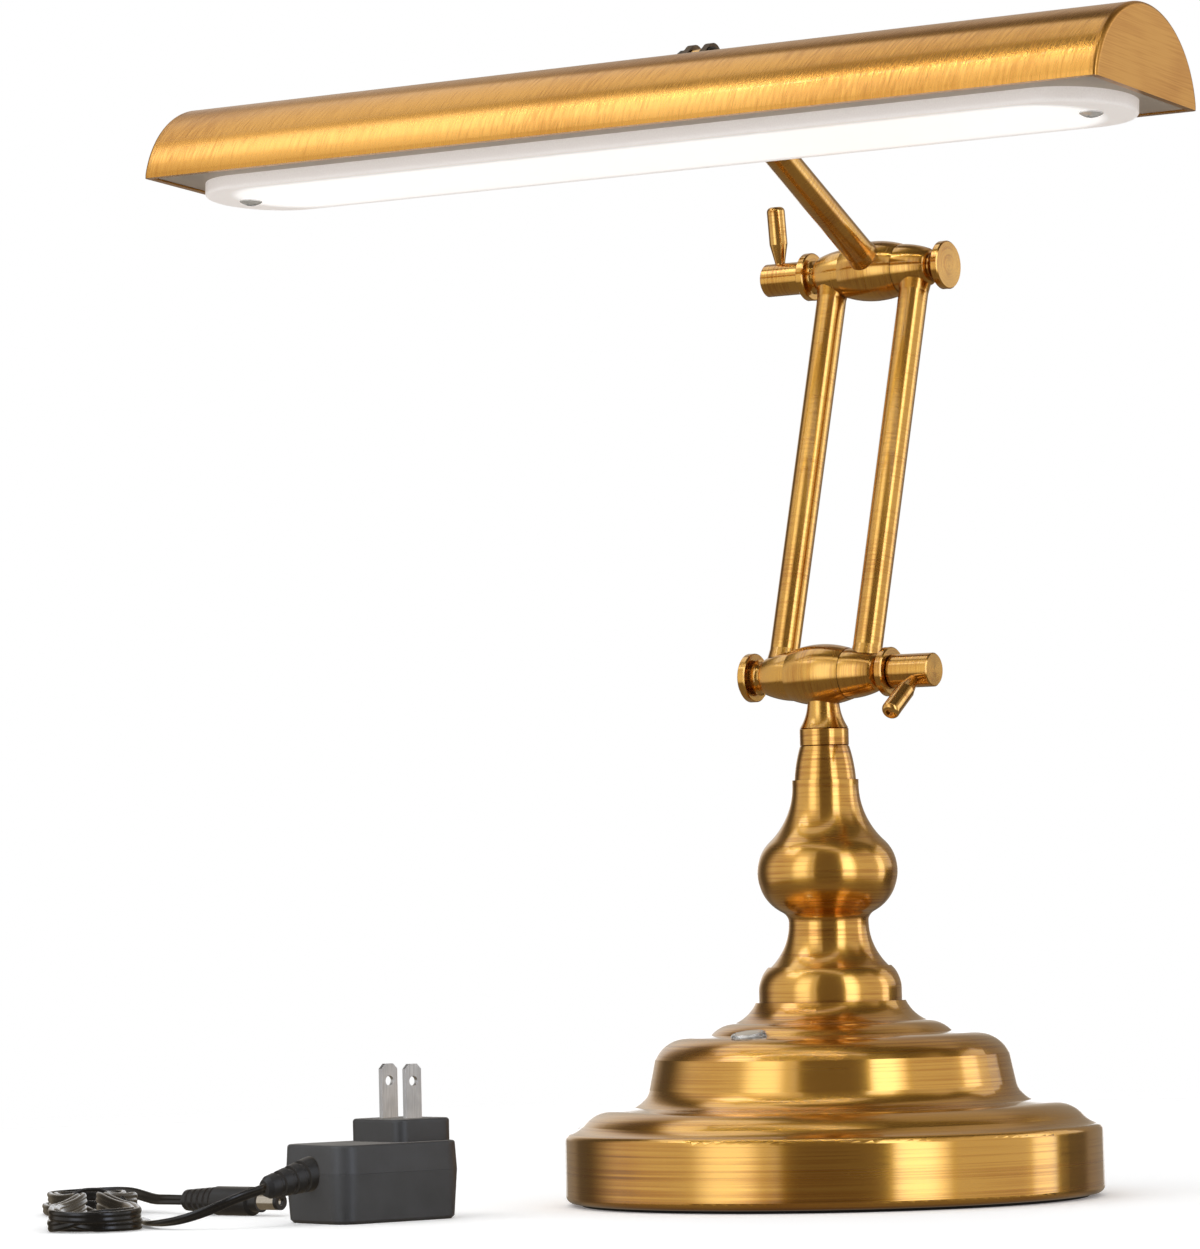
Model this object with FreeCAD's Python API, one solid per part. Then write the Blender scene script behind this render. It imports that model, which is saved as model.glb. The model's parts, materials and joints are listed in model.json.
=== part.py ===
import FreeCAD
import Part
import math
import os

# Piano lamp: weighted round base, turned column, twin lower arms, single upper arm and a long light
# head, with its plug-in power supply lying beside it. Millimetres, +Z up. The origin is the centre of
# the base's underside. The lamp faces -Y, and both arm pivots and the light head lie along X.
# Every piece is written to parts/NAME.step.

# ---------------------------------------------------------------- driving dimensions
# Base, from the floor up
FOOT_PROUD = 1.0              # the pad lifts the metal this far off the table
BASE_WALL = 1.0               # spun sheet
HEM_RADIUS = 2.5              # outside radius of the rolled bottom edge
HEM_LIP = 2.5                 # width of the flat turned in under the bottom plate
PLATE_THICKNESS = 1.5
NUT_ROOM = 0.8
ROD_NUT_HEIGHT = 5.0
ROD_NUT_FLATS = 13.0
ROD_WASHER_RADIUS = 9.0
ROD_WASHER_THICKNESS = 1.2
WEIGHT_WEB = 5.0              # iron left over the nut recess
WEIGHT_HEADROOM = 6.3         # from the weight to the drum's top edge
WEIGHT_GAP = 1.4              # between the weight and the drum wall
# Base, runs of the spun outline from the drum's top edge inwards and up
RIM_WIDTH, RIM_RISE, RIM_BULGE = 1.7, 2.2, 0.34
VALLEY_WIDTH, VALLEY_RISE, VALLEY_BULGE = 4.1, 2.3, -0.12
SHOULDER_WIDTH, SHOULDER_RISE, SHOULDER_BULGE = 10.3, 5.1, 0.22
STEP_WIDTH, STEP_RISE = 6.9, 0.7
COVE_WIDTH, COVE_RISE, COVE_BULGE = 5.0, 5.5, -0.22
DOME_TAPER, DOME_RISE = 2.1, 10.0
BROW_WIDTH, BROW_RISE, BROW_BULGE = 10.5, 7.0, 0.26
LEDGE_WIDTH, LEDGE_RISE = 8.4, 0.6
BEAD_WIDTH, BEAD_RISE, BEAD_BULGE = 8.2, 3.8, 0.2
FLARE_WIDTH, FLARE_RISE, FLARE_BULGE = 6.8, 6.6, -0.2
SEAT_LIP = 1.2                # base top stands out past the collar
# Threaded rod that holds the base and the column together
ROD_RADIUS = 3.9
ROD_BORE = 2.2
ROD_CLEARANCE = 0.2
ROD_GRIP = 4.0                # thread inside the barrel's throat
SPACER_WALL = 2.4
# Touch sensor on the ledge
SENSOR_RADIUS = 5.85
SENSOR_BUTTON_RADIUS = 4.2
SENSOR_PROUD = 1.6
SENSOR_STEM_RADIUS = 4.0
SENSOR_STEM_LENGTH = 11.0
SENSOR_TILT = 10.0            # degrees, square to the ledge
SENSOR_SIDE_ANGLE = 5.6       # degrees from the front towards -X
BOARD_LENGTH, BOARD_DEPTH, BOARD_THICKNESS = 36.0, 20.0, 1.6
BOARD_STANDOFF = 9.0
BOARD_MIDDLE_RADIUS = 37.0
BOARD_POST_RADIUS, BOARD_POST_INSET = 2.5, 4.0
CAPACITOR_RADIUS, CAPACITOR_HEIGHT = 3.5, 8.0
DRIVER_SIZE = (8.0, 6.0, 3.0)
HEADER_SIZE = (10.0, 4.0, 5.0)
# Supply socket at the back of the drum
JACK_RADIUS = 4.1
JACK_HEIGHT = 12.0
JACK_FLANGE_RADIUS = 5.6
JACK_FLANGE_THICKNESS = 1.0
JACK_BARREL_LENGTH = 12.0
JACK_BODY_SIDE = 9.0
JACK_BODY_LENGTH = 8.0
JACK_SOCKET_RADIUS = 2.8
JACK_SOCKET_DEPTH = 9.0
JACK_PIN_RADIUS = 1.0
JACK_NUT_FLATS = 10.5
JACK_NUT_THICKNESS = 2.2
# Column
COLLAR_RADIUS = 23.8
COLLAR_WALL_HEIGHT = 3.9
COLLAR_ROUND_WIDTH, COLLAR_ROUND_HEIGHT = 3.4, 7.7
VASE_STEP = 0.9
WAIST_RISE, BELLY_RISE, SHOULDER_TO_NECK, NECK_HEIGHT = 14.8, 16.5, 28.5, 1.8
BELLY_OVER_WAIST, BELLY_OVER_NECK = 10.1, 12.3
BELLY_TURN_SHARE, NECK_TURN_SHARE = 0.19, 0.352
VASE_WALL = 3.0               # around the bored cavity at the waist
CONE_HEIGHT, CONE_SPREAD, CONE_LEDGE, CONE_BULGE = 11.2, 2.1, 0.8, 0.06
RING_RADIUS, RING_HEIGHT, RING_EDGE = 8.2, 6.0, 0.4
THROAT_NECK_RADIUS, THROAT_HEIGHT, PIVOT_RISE = 5.35, 9.0, 17.7
# Clamped pivots, measured along the pivot axis
BARREL_HALF_LENGTH = 10.5
BARREL_END_RADIUS, BARREL_CROWN = 8.6, 1.6
PIVOT_GAP = 0.1
BOLT_RADIUS, BOLT_CLEARANCE = 3.0, 0.05
HUB_RADIUS, HUB_TAPER, HUB_BODY_LENGTH = 8.4, 2.0, 10.2
HUB_NECK_RADIUS, HUB_NECK_LENGTH = 4.4, 2.2
HUB_LIP_RADIUS, HUB_LIP_LENGTH = 6.0, 1.5
DISC_RADIUS, DISC_THICKNESS, DISC_EDGE = 8.15, 2.8, 0.4
HEAD_BOSS_RADIUS, HEAD_BOSS_LENGTH = 5.0, 1.5
CLAMP_NUT_RADIUS, CLAMP_NUT_LENGTH = 5.6, 15.8
CLAMP_NUT_WALL = 1.4          # closed outer end of the nut
LEVER_FROM_END = 5.5          # lever axis in from the nut's outer end
LEVER_NECK_RADIUS, LEVER_RADIUS = 1.7, 3.1
LEVER_CONE_LENGTH, LEVER_LENGTH, LEVER_EDGE = 6.5, 19.3, 1.7
LEVER_ROOT_DEPTH = 1.6
LEVER_DIMPLE_RADIUS, LEVER_DIMPLE_DEPTH = 1.1, 0.8
LOWER_LEVER_ANGLE = 125.0     # degrees from +Z towards -Y
UPPER_LEVER_ANGLE = 6.6
# Arms
ARM_RADIUS, ARM_WALL = 5.0, 1.0
BRAZE_WIDTH, BRAZE_LENGTH = 0.5, 3.6      # fillet of brazing where a tube meets a hub
ARM_OFFSET = 16.2             # each lower arm from the middle plane
LOWER_ARM_LENGTH, LOWER_ARM_LEAN = 143.2, 16.3
UPPER_ARM_LENGTH, UPPER_ARM_RISE = 122.0, 29.8
# Hinge of the light head
LOBE_RADIUS = 3.9             # round end of the tongue
LUG_TOP_RADIUS, LUG_RISE = 4.2, 1.8   # round top of a lug, and its middle above the screw
TONGUE_THICKNESS, LUG_THICKNESS, HINGE_GAP = 4.0, 2.4, 0.2
TONGUE_PLUG_LENGTH, TONGUE_COLLAR = 10.0, 1.5
TONGUE_BARE = 11.1            # tongue left free between its round end and the tube
HINGE_STAND_OFF, HINGE_BACK_ANGLE = 14.6, 37.4
LUG_SPREAD = 3.3              # each side of a lug widens by this towards the shade
SADDLE_THICKNESS, SADDLE_HALF_SPAN, SADDLE_HALF_WIDTH = 1.5, 9.0, 8.5
HINGE_SCREW_RADIUS, HINGE_SCREW_CLEARANCE = 2.0, 0.05
HINGE_WASHER_RADIUS, HINGE_WASHER_THICKNESS = 4.2, 0.5
HINGE_HEAD_RADIUS, HINGE_HEAD_HEIGHT = 3.6, 1.8
HINGE_NUT_FLATS, HINGE_NUT_HEIGHT = 7.0, 2.6
# Light head
SHADE_LENGTH, SHADE_DEPTH, SHADE_HEIGHT = 362.0, 63.5, 28.0
SHADE_TILT = 4.5              # degrees, back edge lower
SHADE_WALL, SHADE_SIDE_HEIGHT = 1.0, 1.5
SHADE_LIP_WIDTH, SHADE_LIP_THICKNESS = 1.2, 0.5
CAP_THICKNESS, CAP_EDGE = 2.4, 1.5
CAP_SPIGOT, CAP_CLEARANCE = 2.0, 0.1
SHADE_PLATE_THICKNESS, SHADE_PLATE_GAP = 1.2, 0.3
LENS_END_GAP, LENS_WIDTH, LENS_DEPTH = 6.5, 44.5, 4.5
LENS_WALL, LENS_EDGE, LENS_SHIFT = 1.6, 1.2, 1.0
LENS_SCREW_INSET = 13.5       # from the lens's end to its screw
LENS_SCREW_RADIUS, LENS_SCREW_CLEARANCE, LENS_SCREW_REACH = 1.5, 0.15, 5.0
LENS_HEAD_RADIUS, LENS_HEAD_HEIGHT, LENS_BOSS_RADIUS = 3.75, 1.6, 4.2
SLOT_WIDTH, SLOT_DEPTH = 0.9, 0.8
LED_BOARD_INSET, LED_BOARD_WIDTH, LED_BOARD_THICKNESS = 29.5, 30.0, 1.0
CHIP_SIDE, CHIP_HEIGHT, CHIP_PITCH, CHIP_ROW_SPACING = 3.0, 0.7, 14.0, 16.0
# Power supply: adapter
ADAPTER_LENGTH, ADAPTER_WIDTH = 49.5, 34.5
ADAPTER_SEAM_HEIGHT, ADAPTER_LID_HEIGHT = 15.8, 9.2
ADAPTER_CORNER, ADAPTER_DRAFT, ADAPTER_EDGE = 7.0, 0.6, 1.0
PLUG_BLOCK_LENGTH, PLUG_BLOCK_WIDTH, PLUG_BLOCK_HEIGHT, PLUG_BLOCK_CORNER = 22.4, 27.0, 7.2, 4.0
PLUG_BLOCK_INSET = 1.5
BLADE_SPACING, BLADE_WIDTH, BLADE_THICKNESS, BLADE_HEIGHT = 12.7, 6.35, 1.5, 17.4
BLADE_TIP, BLADE_HOLE_RADIUS, BLADE_HOLE_HEIGHT = 1.6, 1.6, 11.9
ADAPTER_CENTRE = (-88.7, -137.6)
ADAPTER_HEADING = 72.9        # degrees of its long axis from +X
RELIEF_LENGTH, RELIEF_ROOT_RADIUS, RELIEF_TIP_RADIUS, RELIEF_DROOP = 18.0, 5.5, 3.5, 12.0
RIB_COUNT, RIB_SHARE, GROOVE_DEPTH = 4, 0.62, 1.1
# Power supply: lead, hank, tie and connector
CORD_DIAMETER = 3.6
ADAPTER_LEAD_ROUTE = (
    (-104.0, -187.2, 10.0), (-110.8, -193.8, 6.0), (-119.9, -197.2, 3.0), (-129.7, -195.6, 1.8),
    (-138.6, -189.9, 1.8), (-146.3, -181.2, 1.9), (-153.7, -172.2, 2.0), (-162.2, -165.2, 2.7),
    (-172.0, -161.8, 3.8), (-181.2, -160.6, 4.4))
CONNECTOR_LEAD_ROUTE = (
    (-219.1, -107.5, 4.6), (-209.9, -108.4, 4.0), (-201.3, -110.9, 3.6), (-194.2, -114.7, 3.9),
    (-187.4, -118.2, 4.75))
HANK_CENTRE = (-182.9, -163.3)
HANK_HEADING = 129.9          # degrees of its long axis, towards its far end
HANK_HEIGHT, HANK_EDGE = 8.0, 2.5
HANK_WAIST_OFFSET, HANK_WAIST_HALF_WIDTH = 7.0, 5.0
HANK_FAR_SIDE, HANK_FAR_HALF_WIDTH, HANK_FAR_END = 57.5, 15.4, 17.2
HANK_NEAR_SIDE, HANK_NEAR_HALF_WIDTH, HANK_NEAR_END = 56.5, 15.2, 16.8
TIE_WIDTH, TIE_THICKNESS = 3.0, 1.1
TIE_TAIL_RADIUS, TIE_TAIL_LENGTH = 1.1, 8.0
CONNECTOR_START = (-178.8, -119.0)
CONNECTOR_HEADING = -6.1      # degrees from +X
BOOT_LENGTH, BOOT_TIP_RADIUS, BOOT_ROOT_RADIUS, BOOT_RIBS = 14.0, 3.4, 4.5, 5
GRIP_LENGTH, GRIP_RADIUS, GRIP_EDGE = 17.5, 4.75, 1.0
NECK_LENGTH, NECK_RADIUS = 3.0, 3.6
BARREL_PLUG_LENGTH, BARREL_PLUG_RADIUS = 7.3, 2.75
TIP_LENGTH, TIP_BORE_RADIUS = 1.4, 1.25

# ---------------------------------------------------------------- derived places
Vector = FreeCAD.Vector
ORIGIN = Vector(0, 0, 0)
UP = Vector(0, 0, 1)
ALONG = Vector(1, 0, 0)
FRONT = Vector(0, -1, 0)
BACK = Vector(0, 1, 0)

BASE_RUNS = (
    (RIM_WIDTH, RIM_RISE, RIM_BULGE),
    (VALLEY_WIDTH, VALLEY_RISE, VALLEY_BULGE),
    (SHOULDER_WIDTH, SHOULDER_RISE, SHOULDER_BULGE),
    (STEP_WIDTH, STEP_RISE, 0.0),
    (COVE_WIDTH, COVE_RISE, COVE_BULGE),
    (DOME_TAPER, DOME_RISE, 0.0),
    (BROW_WIDTH, BROW_RISE, BROW_BULGE),
    (LEDGE_WIDTH, LEDGE_RISE, 0.0),
    (BEAD_WIDTH, BEAD_RISE, BEAD_BULGE),
    (FLARE_WIDTH, FLARE_RISE, FLARE_BULGE))
SEAT_RADIUS = COLLAR_RADIUS + SEAT_LIP
DRUM_RADIUS = SEAT_RADIUS + sum(width for width, _, _ in BASE_RUNS)
PLATE_BOTTOM = FOOT_PROUD + BASE_WALL
WEIGHT_BOTTOM = PLATE_BOTTOM + PLATE_THICKNESS
RECESS_TOP = WEIGHT_BOTTOM + NUT_ROOM + ROD_NUT_HEIGHT + ROD_WASHER_THICKNESS
WEIGHT_TOP = RECESS_TOP + WEIGHT_WEB
DRUM_TOP = WEIGHT_TOP + WEIGHT_HEADROOM
BASE_TOP = DRUM_TOP + sum(rise for _, rise, _ in BASE_RUNS)
LEDGE_RADIUS = SEAT_RADIUS + FLARE_WIDTH + BEAD_WIDTH + LEDGE_WIDTH / 2
LEDGE_HEIGHT = BASE_TOP - FLARE_RISE - BEAD_RISE - LEDGE_RISE / 2
ROD_HOLE = ROD_RADIUS + ROD_CLEARANCE
VASE_BOTTOM = BASE_TOP + COLLAR_WALL_HEIGHT + COLLAR_ROUND_HEIGHT
VASE_TOP = VASE_BOTTOM + WAIST_RISE + BELLY_RISE + SHOULDER_TO_NECK + NECK_HEIGHT
RING_BOTTOM = VASE_TOP + CONE_HEIGHT
THROAT_BOTTOM = RING_BOTTOM + RING_HEIGHT
LOWER_PIVOT = Vector(0, 0, THROAT_BOTTOM + PIVOT_RISE)


def heading(angle, start, end):
    """Unit vector turned by angle degrees from the direction start towards the direction end."""
    turn = math.radians(angle)
    return start * math.cos(turn) + end * math.sin(turn)


LOWER_ARM_DIRECTION = heading(LOWER_ARM_LEAN, UP, BACK)
UPPER_PIVOT = LOWER_PIVOT + LOWER_ARM_DIRECTION * LOWER_ARM_LENGTH
UPPER_ARM_DIRECTION = heading(UPPER_ARM_RISE, FRONT, UP)
SHADE_HINGE = UPPER_PIVOT + UPPER_ARM_DIRECTION * UPPER_ARM_LENGTH
HUB_START = BARREL_HALF_LENGTH + PIVOT_GAP
HUB_END = HUB_START + HUB_BODY_LENGTH + HUB_NECK_LENGTH + HUB_LIP_LENGTH
NUT_START = HUB_END + DISC_THICKNESS + PIVOT_GAP
NUT_END = NUT_START + CLAMP_NUT_LENGTH
SHADE_HALF = SHADE_DEPTH / 2
SHADE_RISE = SHADE_HEIGHT - SHADE_SIDE_HEIGHT
SHADE_RADIUS = (SHADE_HALF ** 2 + SHADE_RISE ** 2) / (2 * SHADE_RISE)
SHADE_ARC_HEIGHT = SHADE_HEIGHT - SHADE_RADIUS
SHELL_HALF_LENGTH = SHADE_LENGTH / 2 - CAP_THICKNESS
LENS_LENGTH = SHADE_LENGTH - 2 * LENS_END_GAP
LENS_SCREW_SPAN = LENS_LENGTH - 2 * LENS_SCREW_INSET
LED_BOARD_LENGTH = LENS_LENGTH - 2 * LED_BOARD_INSET
SHADE_PLATE_TOP = SHADE_LIP_THICKNESS + SHADE_PLATE_THICKNESS
LENS_BOTTOM = SHADE_LIP_THICKNESS - LENS_DEPTH
LUG_OUTSIDE = TONGUE_THICKNESS / 2 + HINGE_GAP + LUG_THICKNESS


# ---------------------------------------------------------------- shape helpers
def on_xz(first, second):
    """Point of the XZ plane."""
    return Vector(first, 0, second)


def on_yz(first, second):
    """Point of the YZ plane."""
    return Vector(0, first, second)


def on_xy(first, second):
    """Point of the XY plane."""
    return Vector(first, second, 0)


def outline(points, plane):
    """Closed wire through (first, second, bulge) points of a plane.

    A bulge bends the run that leaves its point to the right of the way it goes, by that share of half
    the run: 1 is a half circle, and 0 is straight.
    """
    edges = []
    for (a1, b1, bulge), (a2, b2, _) in zip(points, points[1:] + points[:1]):
        start, end = plane(a1, b1), plane(a2, b2)
        if abs(bulge) < 1e-6:
            edges.append(Part.LineSegment(start, end).toShape())
            continue
        middle = plane((a1 + a2 + bulge * (b2 - b1)) / 2, (b1 + b2 - bulge * (a2 - a1)) / 2)
        edges.append(Part.Arc(start, middle, end).toShape())
    return Part.Wire(edges)


def prism(points, plane, base, length):
    """Solid of a closed outline, moved to base and pushed along the vector length."""
    face = Part.Face(outline(points, plane))
    face.translate(base)
    return face.extrude(length)


def turned(points):
    """Solid of revolution about Z of a closed (radius, height, bulge) outline."""
    return Part.Face(outline(points, on_xz)).revolve(ORIGIN, UP, 360)


def walked_back(path):
    """The same open path walked the other way."""
    bulges = [-bulge for _, _, bulge in path[:-1]]
    return [(a, b, bulge) for (a, b, _), bulge in zip(path[::-1], bulges[::-1] + [0.0])]


def tangent_bulge(across, along):
    """Bulge of an arc that leaves its start along the second direction and drifts across."""
    return math.tan(math.atan2(across, along) / 2)


def ogee(start, end, share, side):
    """Two arcs, upright at both ends, that meet at a share of the way: (radius, height, bulge) points."""
    bulge = side * tangent_bulge(abs(end[0] - start[0]), end[1] - start[1])
    turn = (start[0] + share * (end[0] - start[0]), start[1] + share * (end[1] - start[1]))
    return [(start[0], start[1], bulge), (turn[0], turn[1], -bulge)]


def laid(shape, base, direction):
    """A shape made along +Z from the origin, moved to start at base and run along direction."""
    return shape.transformed(FreeCAD.Placement(base, FreeCAD.Rotation(UP, direction)).toMatrix())


def spun(shape, base, angle):
    """A shape made at the origin, turned about Z by angle degrees and moved to base."""
    return shape.transformed(FreeCAD.Placement(base, FreeCAD.Rotation(UP, angle)).toMatrix())


def post(radius, bottom, top):
    """Cylinder about Z."""
    return Part.makeCylinder(radius, top - bottom, Vector(0, 0, bottom))


def tube(radius, bore, bottom, top):
    """Hollow cylinder about Z."""
    return post(radius, bottom, top).cut(post(bore, bottom, top))


def disc(radius, bottom, top, edge):
    """Round plate about Z with both outer corners cut off by edge."""
    return turned([(0, bottom, 0), (radius - edge, bottom, 0), (radius, bottom + edge, 0),
                   (radius, top - edge, 0), (radius - edge, top, 0), (0, top, 0)])


def hexagon(flats, bottom, top):
    """Six-sided prism about Z."""
    radius = flats / math.sqrt(3)
    corners = [(radius * math.cos(math.pi * i / 3), radius * math.sin(math.pi * i / 3), 0) for i in range(6)]
    return prism(corners, on_xy, Vector(0, 0, bottom), Vector(0, 0, top - bottom))


def block(size, centre, bottom):
    """Box of a (length, width, height) size about a centre, standing on bottom."""
    length, width, height = size
    corner = Vector(centre[0] - length / 2, centre[1] - width / 2, bottom)
    return Part.makeBox(length, width, height, corner)


def rounded_rectangle(length, width, corner):
    """Outline points of a rectangle about the origin with rounded corners."""
    quarter = math.tan(math.pi / 8)
    x, y = length / 2, width / 2
    return [(x, -y + corner, 0), (x, y - corner, quarter), (x - corner, y, 0), (-x + corner, y, quarter),
            (-x, y - corner, 0), (-x, -y + corner, quarter), (-x + corner, -y, 0), (x - corner, -y, quarter)]


def fused(shapes):
    """One clean solid of several that meet."""
    return shapes[0].multiFuse(shapes[1:]).removeSplitter()


def mirrored(shape):
    """The shape on the other side of the middle plane."""
    return shape.mirror(ORIGIN, ALONG)


# ---------------------------------------------------------------- base
def base_outside():
    """Outside of the spun base, from the drum's hem up to the column seat."""
    radius, height = DRUM_RADIUS, DRUM_TOP
    path = [(radius, FOOT_PROUD + HEM_RADIUS, 0)]
    for width, rise, bulge in BASE_RUNS:
        path.append((radius, height, bulge))
        radius -= width
        height += rise
    path.append((radius, height, 0))
    return path


def base_blank():
    """Everything inside the base's outer surface, to seat pieces on it."""
    return turned(base_outside() + [(0, BASE_TOP, 0), (0, FOOT_PROUD + HEM_RADIUS, 0)])


def base_shell():
    """Spun sheet with a rolled hem, and holes for the rod, the sensor and the socket."""
    outside = base_outside()
    inside = [(outside[0][0] - BASE_WALL, outside[0][1], 0)]
    inside += [(radius - BASE_WALL, height - BASE_WALL, bulge) for radius, height, bulge in outside[1:]]
    hem_centre = DRUM_RADIUS - HEM_RADIUS
    quarter = math.tan(math.pi / 8)
    top = [(ROD_HOLE, BASE_TOP, 0), (ROD_HOLE, BASE_TOP - BASE_WALL, 0)]
    back = walked_back(inside)
    back[-1] = (back[-1][0], back[-1][1], -quarter)
    hem = [(hem_centre, PLATE_BOTTOM, 0), (hem_centre - HEM_LIP, PLATE_BOTTOM, 0),
           (hem_centre - HEM_LIP, FOOT_PROUD, 0), (hem_centre, FOOT_PROUD, quarter)]
    shell = turned(outside + top + back + hem)
    shell = shell.cut(sensor_placed(post(SENSOR_STEM_RADIUS + ROD_CLEARANCE, -SENSOR_STEM_LENGTH, SENSOR_PROUD)))
    return shell.cut(jack_placed(post(JACK_RADIUS + ROD_CLEARANCE, 0, JACK_BARREL_LENGTH)))


def sensor_placed(shape):
    """A shape made about Z on the ledge's plane, moved to the touch sensor."""
    side = heading(SENSOR_SIDE_ANGLE, FRONT, -ALONG)
    return laid(shape, side * LEDGE_RADIUS + UP * LEDGE_HEIGHT, heading(SENSOR_TILT, UP, side))


def jack_placed(shape):
    """A shape made along Z, moved to run inwards from the drum's back at the socket's height."""
    return laid(shape, Vector(0, DRUM_RADIUS, JACK_HEIGHT), FRONT)


def base_weight():
    """Cast iron disc with a recess for the rod's nut and a notch for the socket."""
    radius = DRUM_RADIUS - BASE_WALL - WEIGHT_GAP
    room = ROD_WASHER_RADIUS + 2 * ROD_CLEARANCE
    weight = turned([(ROD_HOLE, RECESS_TOP, 0), (room, RECESS_TOP, 0), (room, WEIGHT_BOTTOM, 0),
                     (radius, WEIGHT_BOTTOM, 0), (radius, WEIGHT_TOP, 0), (ROD_HOLE, WEIGHT_TOP, 0)])
    notch_depth = JACK_BARREL_LENGTH + JACK_BODY_LENGTH + WEIGHT_GAP
    notch_width = JACK_FLANGE_RADIUS * 2 + 2 * WEIGHT_GAP
    notch = block((notch_width, notch_depth, WEIGHT_TOP), (0, DRUM_RADIUS - notch_depth / 2), 0)
    return weight.cut(notch)


def touch_sensor_ring():
    """Clear ring seated on the ledge, with its stem through the sheet."""
    bore = SENSOR_BUTTON_RADIUS + BOLT_CLEARANCE
    floor = SENSOR_PROUD / 3
    flange = turned([(0, -SENSOR_PROUD, 0), (SENSOR_RADIUS, -SENSOR_PROUD, 0),
                     (SENSOR_RADIUS, SENSOR_PROUD / 2, 0.35), (SENSOR_RADIUS - SENSOR_PROUD / 2, SENSOR_PROUD, 0),
                     (bore, SENSOR_PROUD, 0), (bore, floor, 0), (0, floor, 0)])
    stem = post(SENSOR_STEM_RADIUS, -SENSOR_STEM_LENGTH, floor)
    return fused([sensor_placed(flange).cut(base_blank()), sensor_placed(stem)])


def touch_sensor_button():
    """Slightly domed metal button inside the ring."""
    floor, crown = SENSOR_PROUD / 3, SENSOR_PROUD / 5
    dome = tangent_bulge(crown, SENSOR_BUTTON_RADIUS)
    return sensor_placed(turned([(0, floor, 0), (SENSOR_BUTTON_RADIUS, floor, 0),
                                 (SENSOR_BUTTON_RADIUS, SENSOR_PROUD, dome), (0, SENSOR_PROUD + crown, 0)]))


def touch_dimmer_board():
    """Small circuit board on two posts that stand on the weight under the sensor."""
    bottom = WEIGHT_TOP + BOARD_STANDOFF
    top = bottom + BOARD_THICKNESS
    middle = -BOARD_MIDDLE_RADIUS
    pieces = [block((BOARD_LENGTH, BOARD_DEPTH, BOARD_THICKNESS), (0, middle), bottom)]
    for side in (-1, 1):
        foot = Vector(side * (BOARD_LENGTH / 2 - BOARD_POST_INSET), middle, 0)
        pieces.append(laid(post(BOARD_POST_RADIUS, WEIGHT_TOP, bottom), foot, UP))
    capacitor = post(CAPACITOR_RADIUS, top, top + CAPACITOR_HEIGHT)
    pieces.append(laid(capacitor, Vector(-BOARD_LENGTH / 4, middle, 0), UP))
    pieces.append(block(DRIVER_SIZE, (BOARD_LENGTH / 6, middle - BOARD_DEPTH / 5), top))
    pieces.append(block(HEADER_SIZE, (BOARD_LENGTH / 5, middle + BOARD_DEPTH / 4), top))
    return fused(pieces)


def dc_jack():
    """Panel socket: flange outside the drum, threaded barrel through it and a square body inside."""
    flange = jack_placed(post(JACK_FLANGE_RADIUS, -JACK_FLANGE_THICKNESS, BASE_WALL)).cut(base_blank())
    barrel = jack_placed(post(JACK_RADIUS, -JACK_FLANGE_THICKNESS, JACK_BARREL_LENGTH))
    body_end = JACK_BARREL_LENGTH + JACK_BODY_LENGTH
    body = block((JACK_BODY_SIDE, JACK_BODY_LENGTH, JACK_BODY_SIDE),
                 (0, DRUM_RADIUS - body_end + JACK_BODY_LENGTH / 2), JACK_HEIGHT - JACK_BODY_SIDE / 2)
    depth = JACK_SOCKET_DEPTH - JACK_FLANGE_THICKNESS
    socket = jack_placed(post(JACK_SOCKET_RADIUS, -JACK_FLANGE_THICKNESS, depth))
    pin = jack_placed(post(JACK_PIN_RADIUS, 0, depth))
    return fused([flange, barrel, body]).cut(socket).fuse(pin).removeSplitter()


def jack_nut():
    """Thin nut that holds the socket from inside the drum."""
    sagitta = DRUM_RADIUS - math.sqrt(DRUM_RADIUS ** 2 - JACK_NUT_FLATS ** 2 / 3)
    start = BASE_WALL + sagitta + PIVOT_GAP
    nut = hexagon(JACK_NUT_FLATS, start, start + JACK_NUT_THICKNESS)
    return jack_placed(nut.cut(post(JACK_RADIUS, start, start + JACK_NUT_THICKNESS)))


def base_pieces():
    """Every piece of the base and of the rod that holds it to the column."""
    hem_centre = DRUM_RADIUS - HEM_RADIUS
    nut_bottom = WEIGHT_BOTTOM + NUT_ROOM
    nut_top = nut_bottom + ROD_NUT_HEIGHT
    nut = hexagon(ROD_NUT_FLATS, nut_bottom, nut_top)
    return {
        "foot_pad": post(hem_centre - HEM_LIP - ROD_CLEARANCE, 0, PLATE_BOTTOM),
        "base_bottom_plate": post(hem_centre - ROD_CLEARANCE, PLATE_BOTTOM, WEIGHT_BOTTOM),
        "base_weight": base_weight(),
        "base_shell": base_shell(),
        "touch_sensor_ring": touch_sensor_ring(),
        "touch_sensor_button": touch_sensor_button(),
        "touch_dimmer_board": touch_dimmer_board(),
        "dc_jack": dc_jack(),
        "dc_jack_nut": jack_nut(),
        "rod_nut": nut.cut(post(ROD_RADIUS, nut_bottom, nut_top)),
        "rod_washer": tube(ROD_WASHER_RADIUS, ROD_HOLE, nut_top, RECESS_TOP),
        "rod_spacer": tube(ROD_HOLE + SPACER_WALL, ROD_HOLE, WEIGHT_TOP, BASE_TOP - BASE_WALL),
        "threaded_rod": tube(ROD_RADIUS, ROD_BORE, nut_bottom - ROD_CLEARANCE, THROAT_BOTTOM + ROD_GRIP)}


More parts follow.
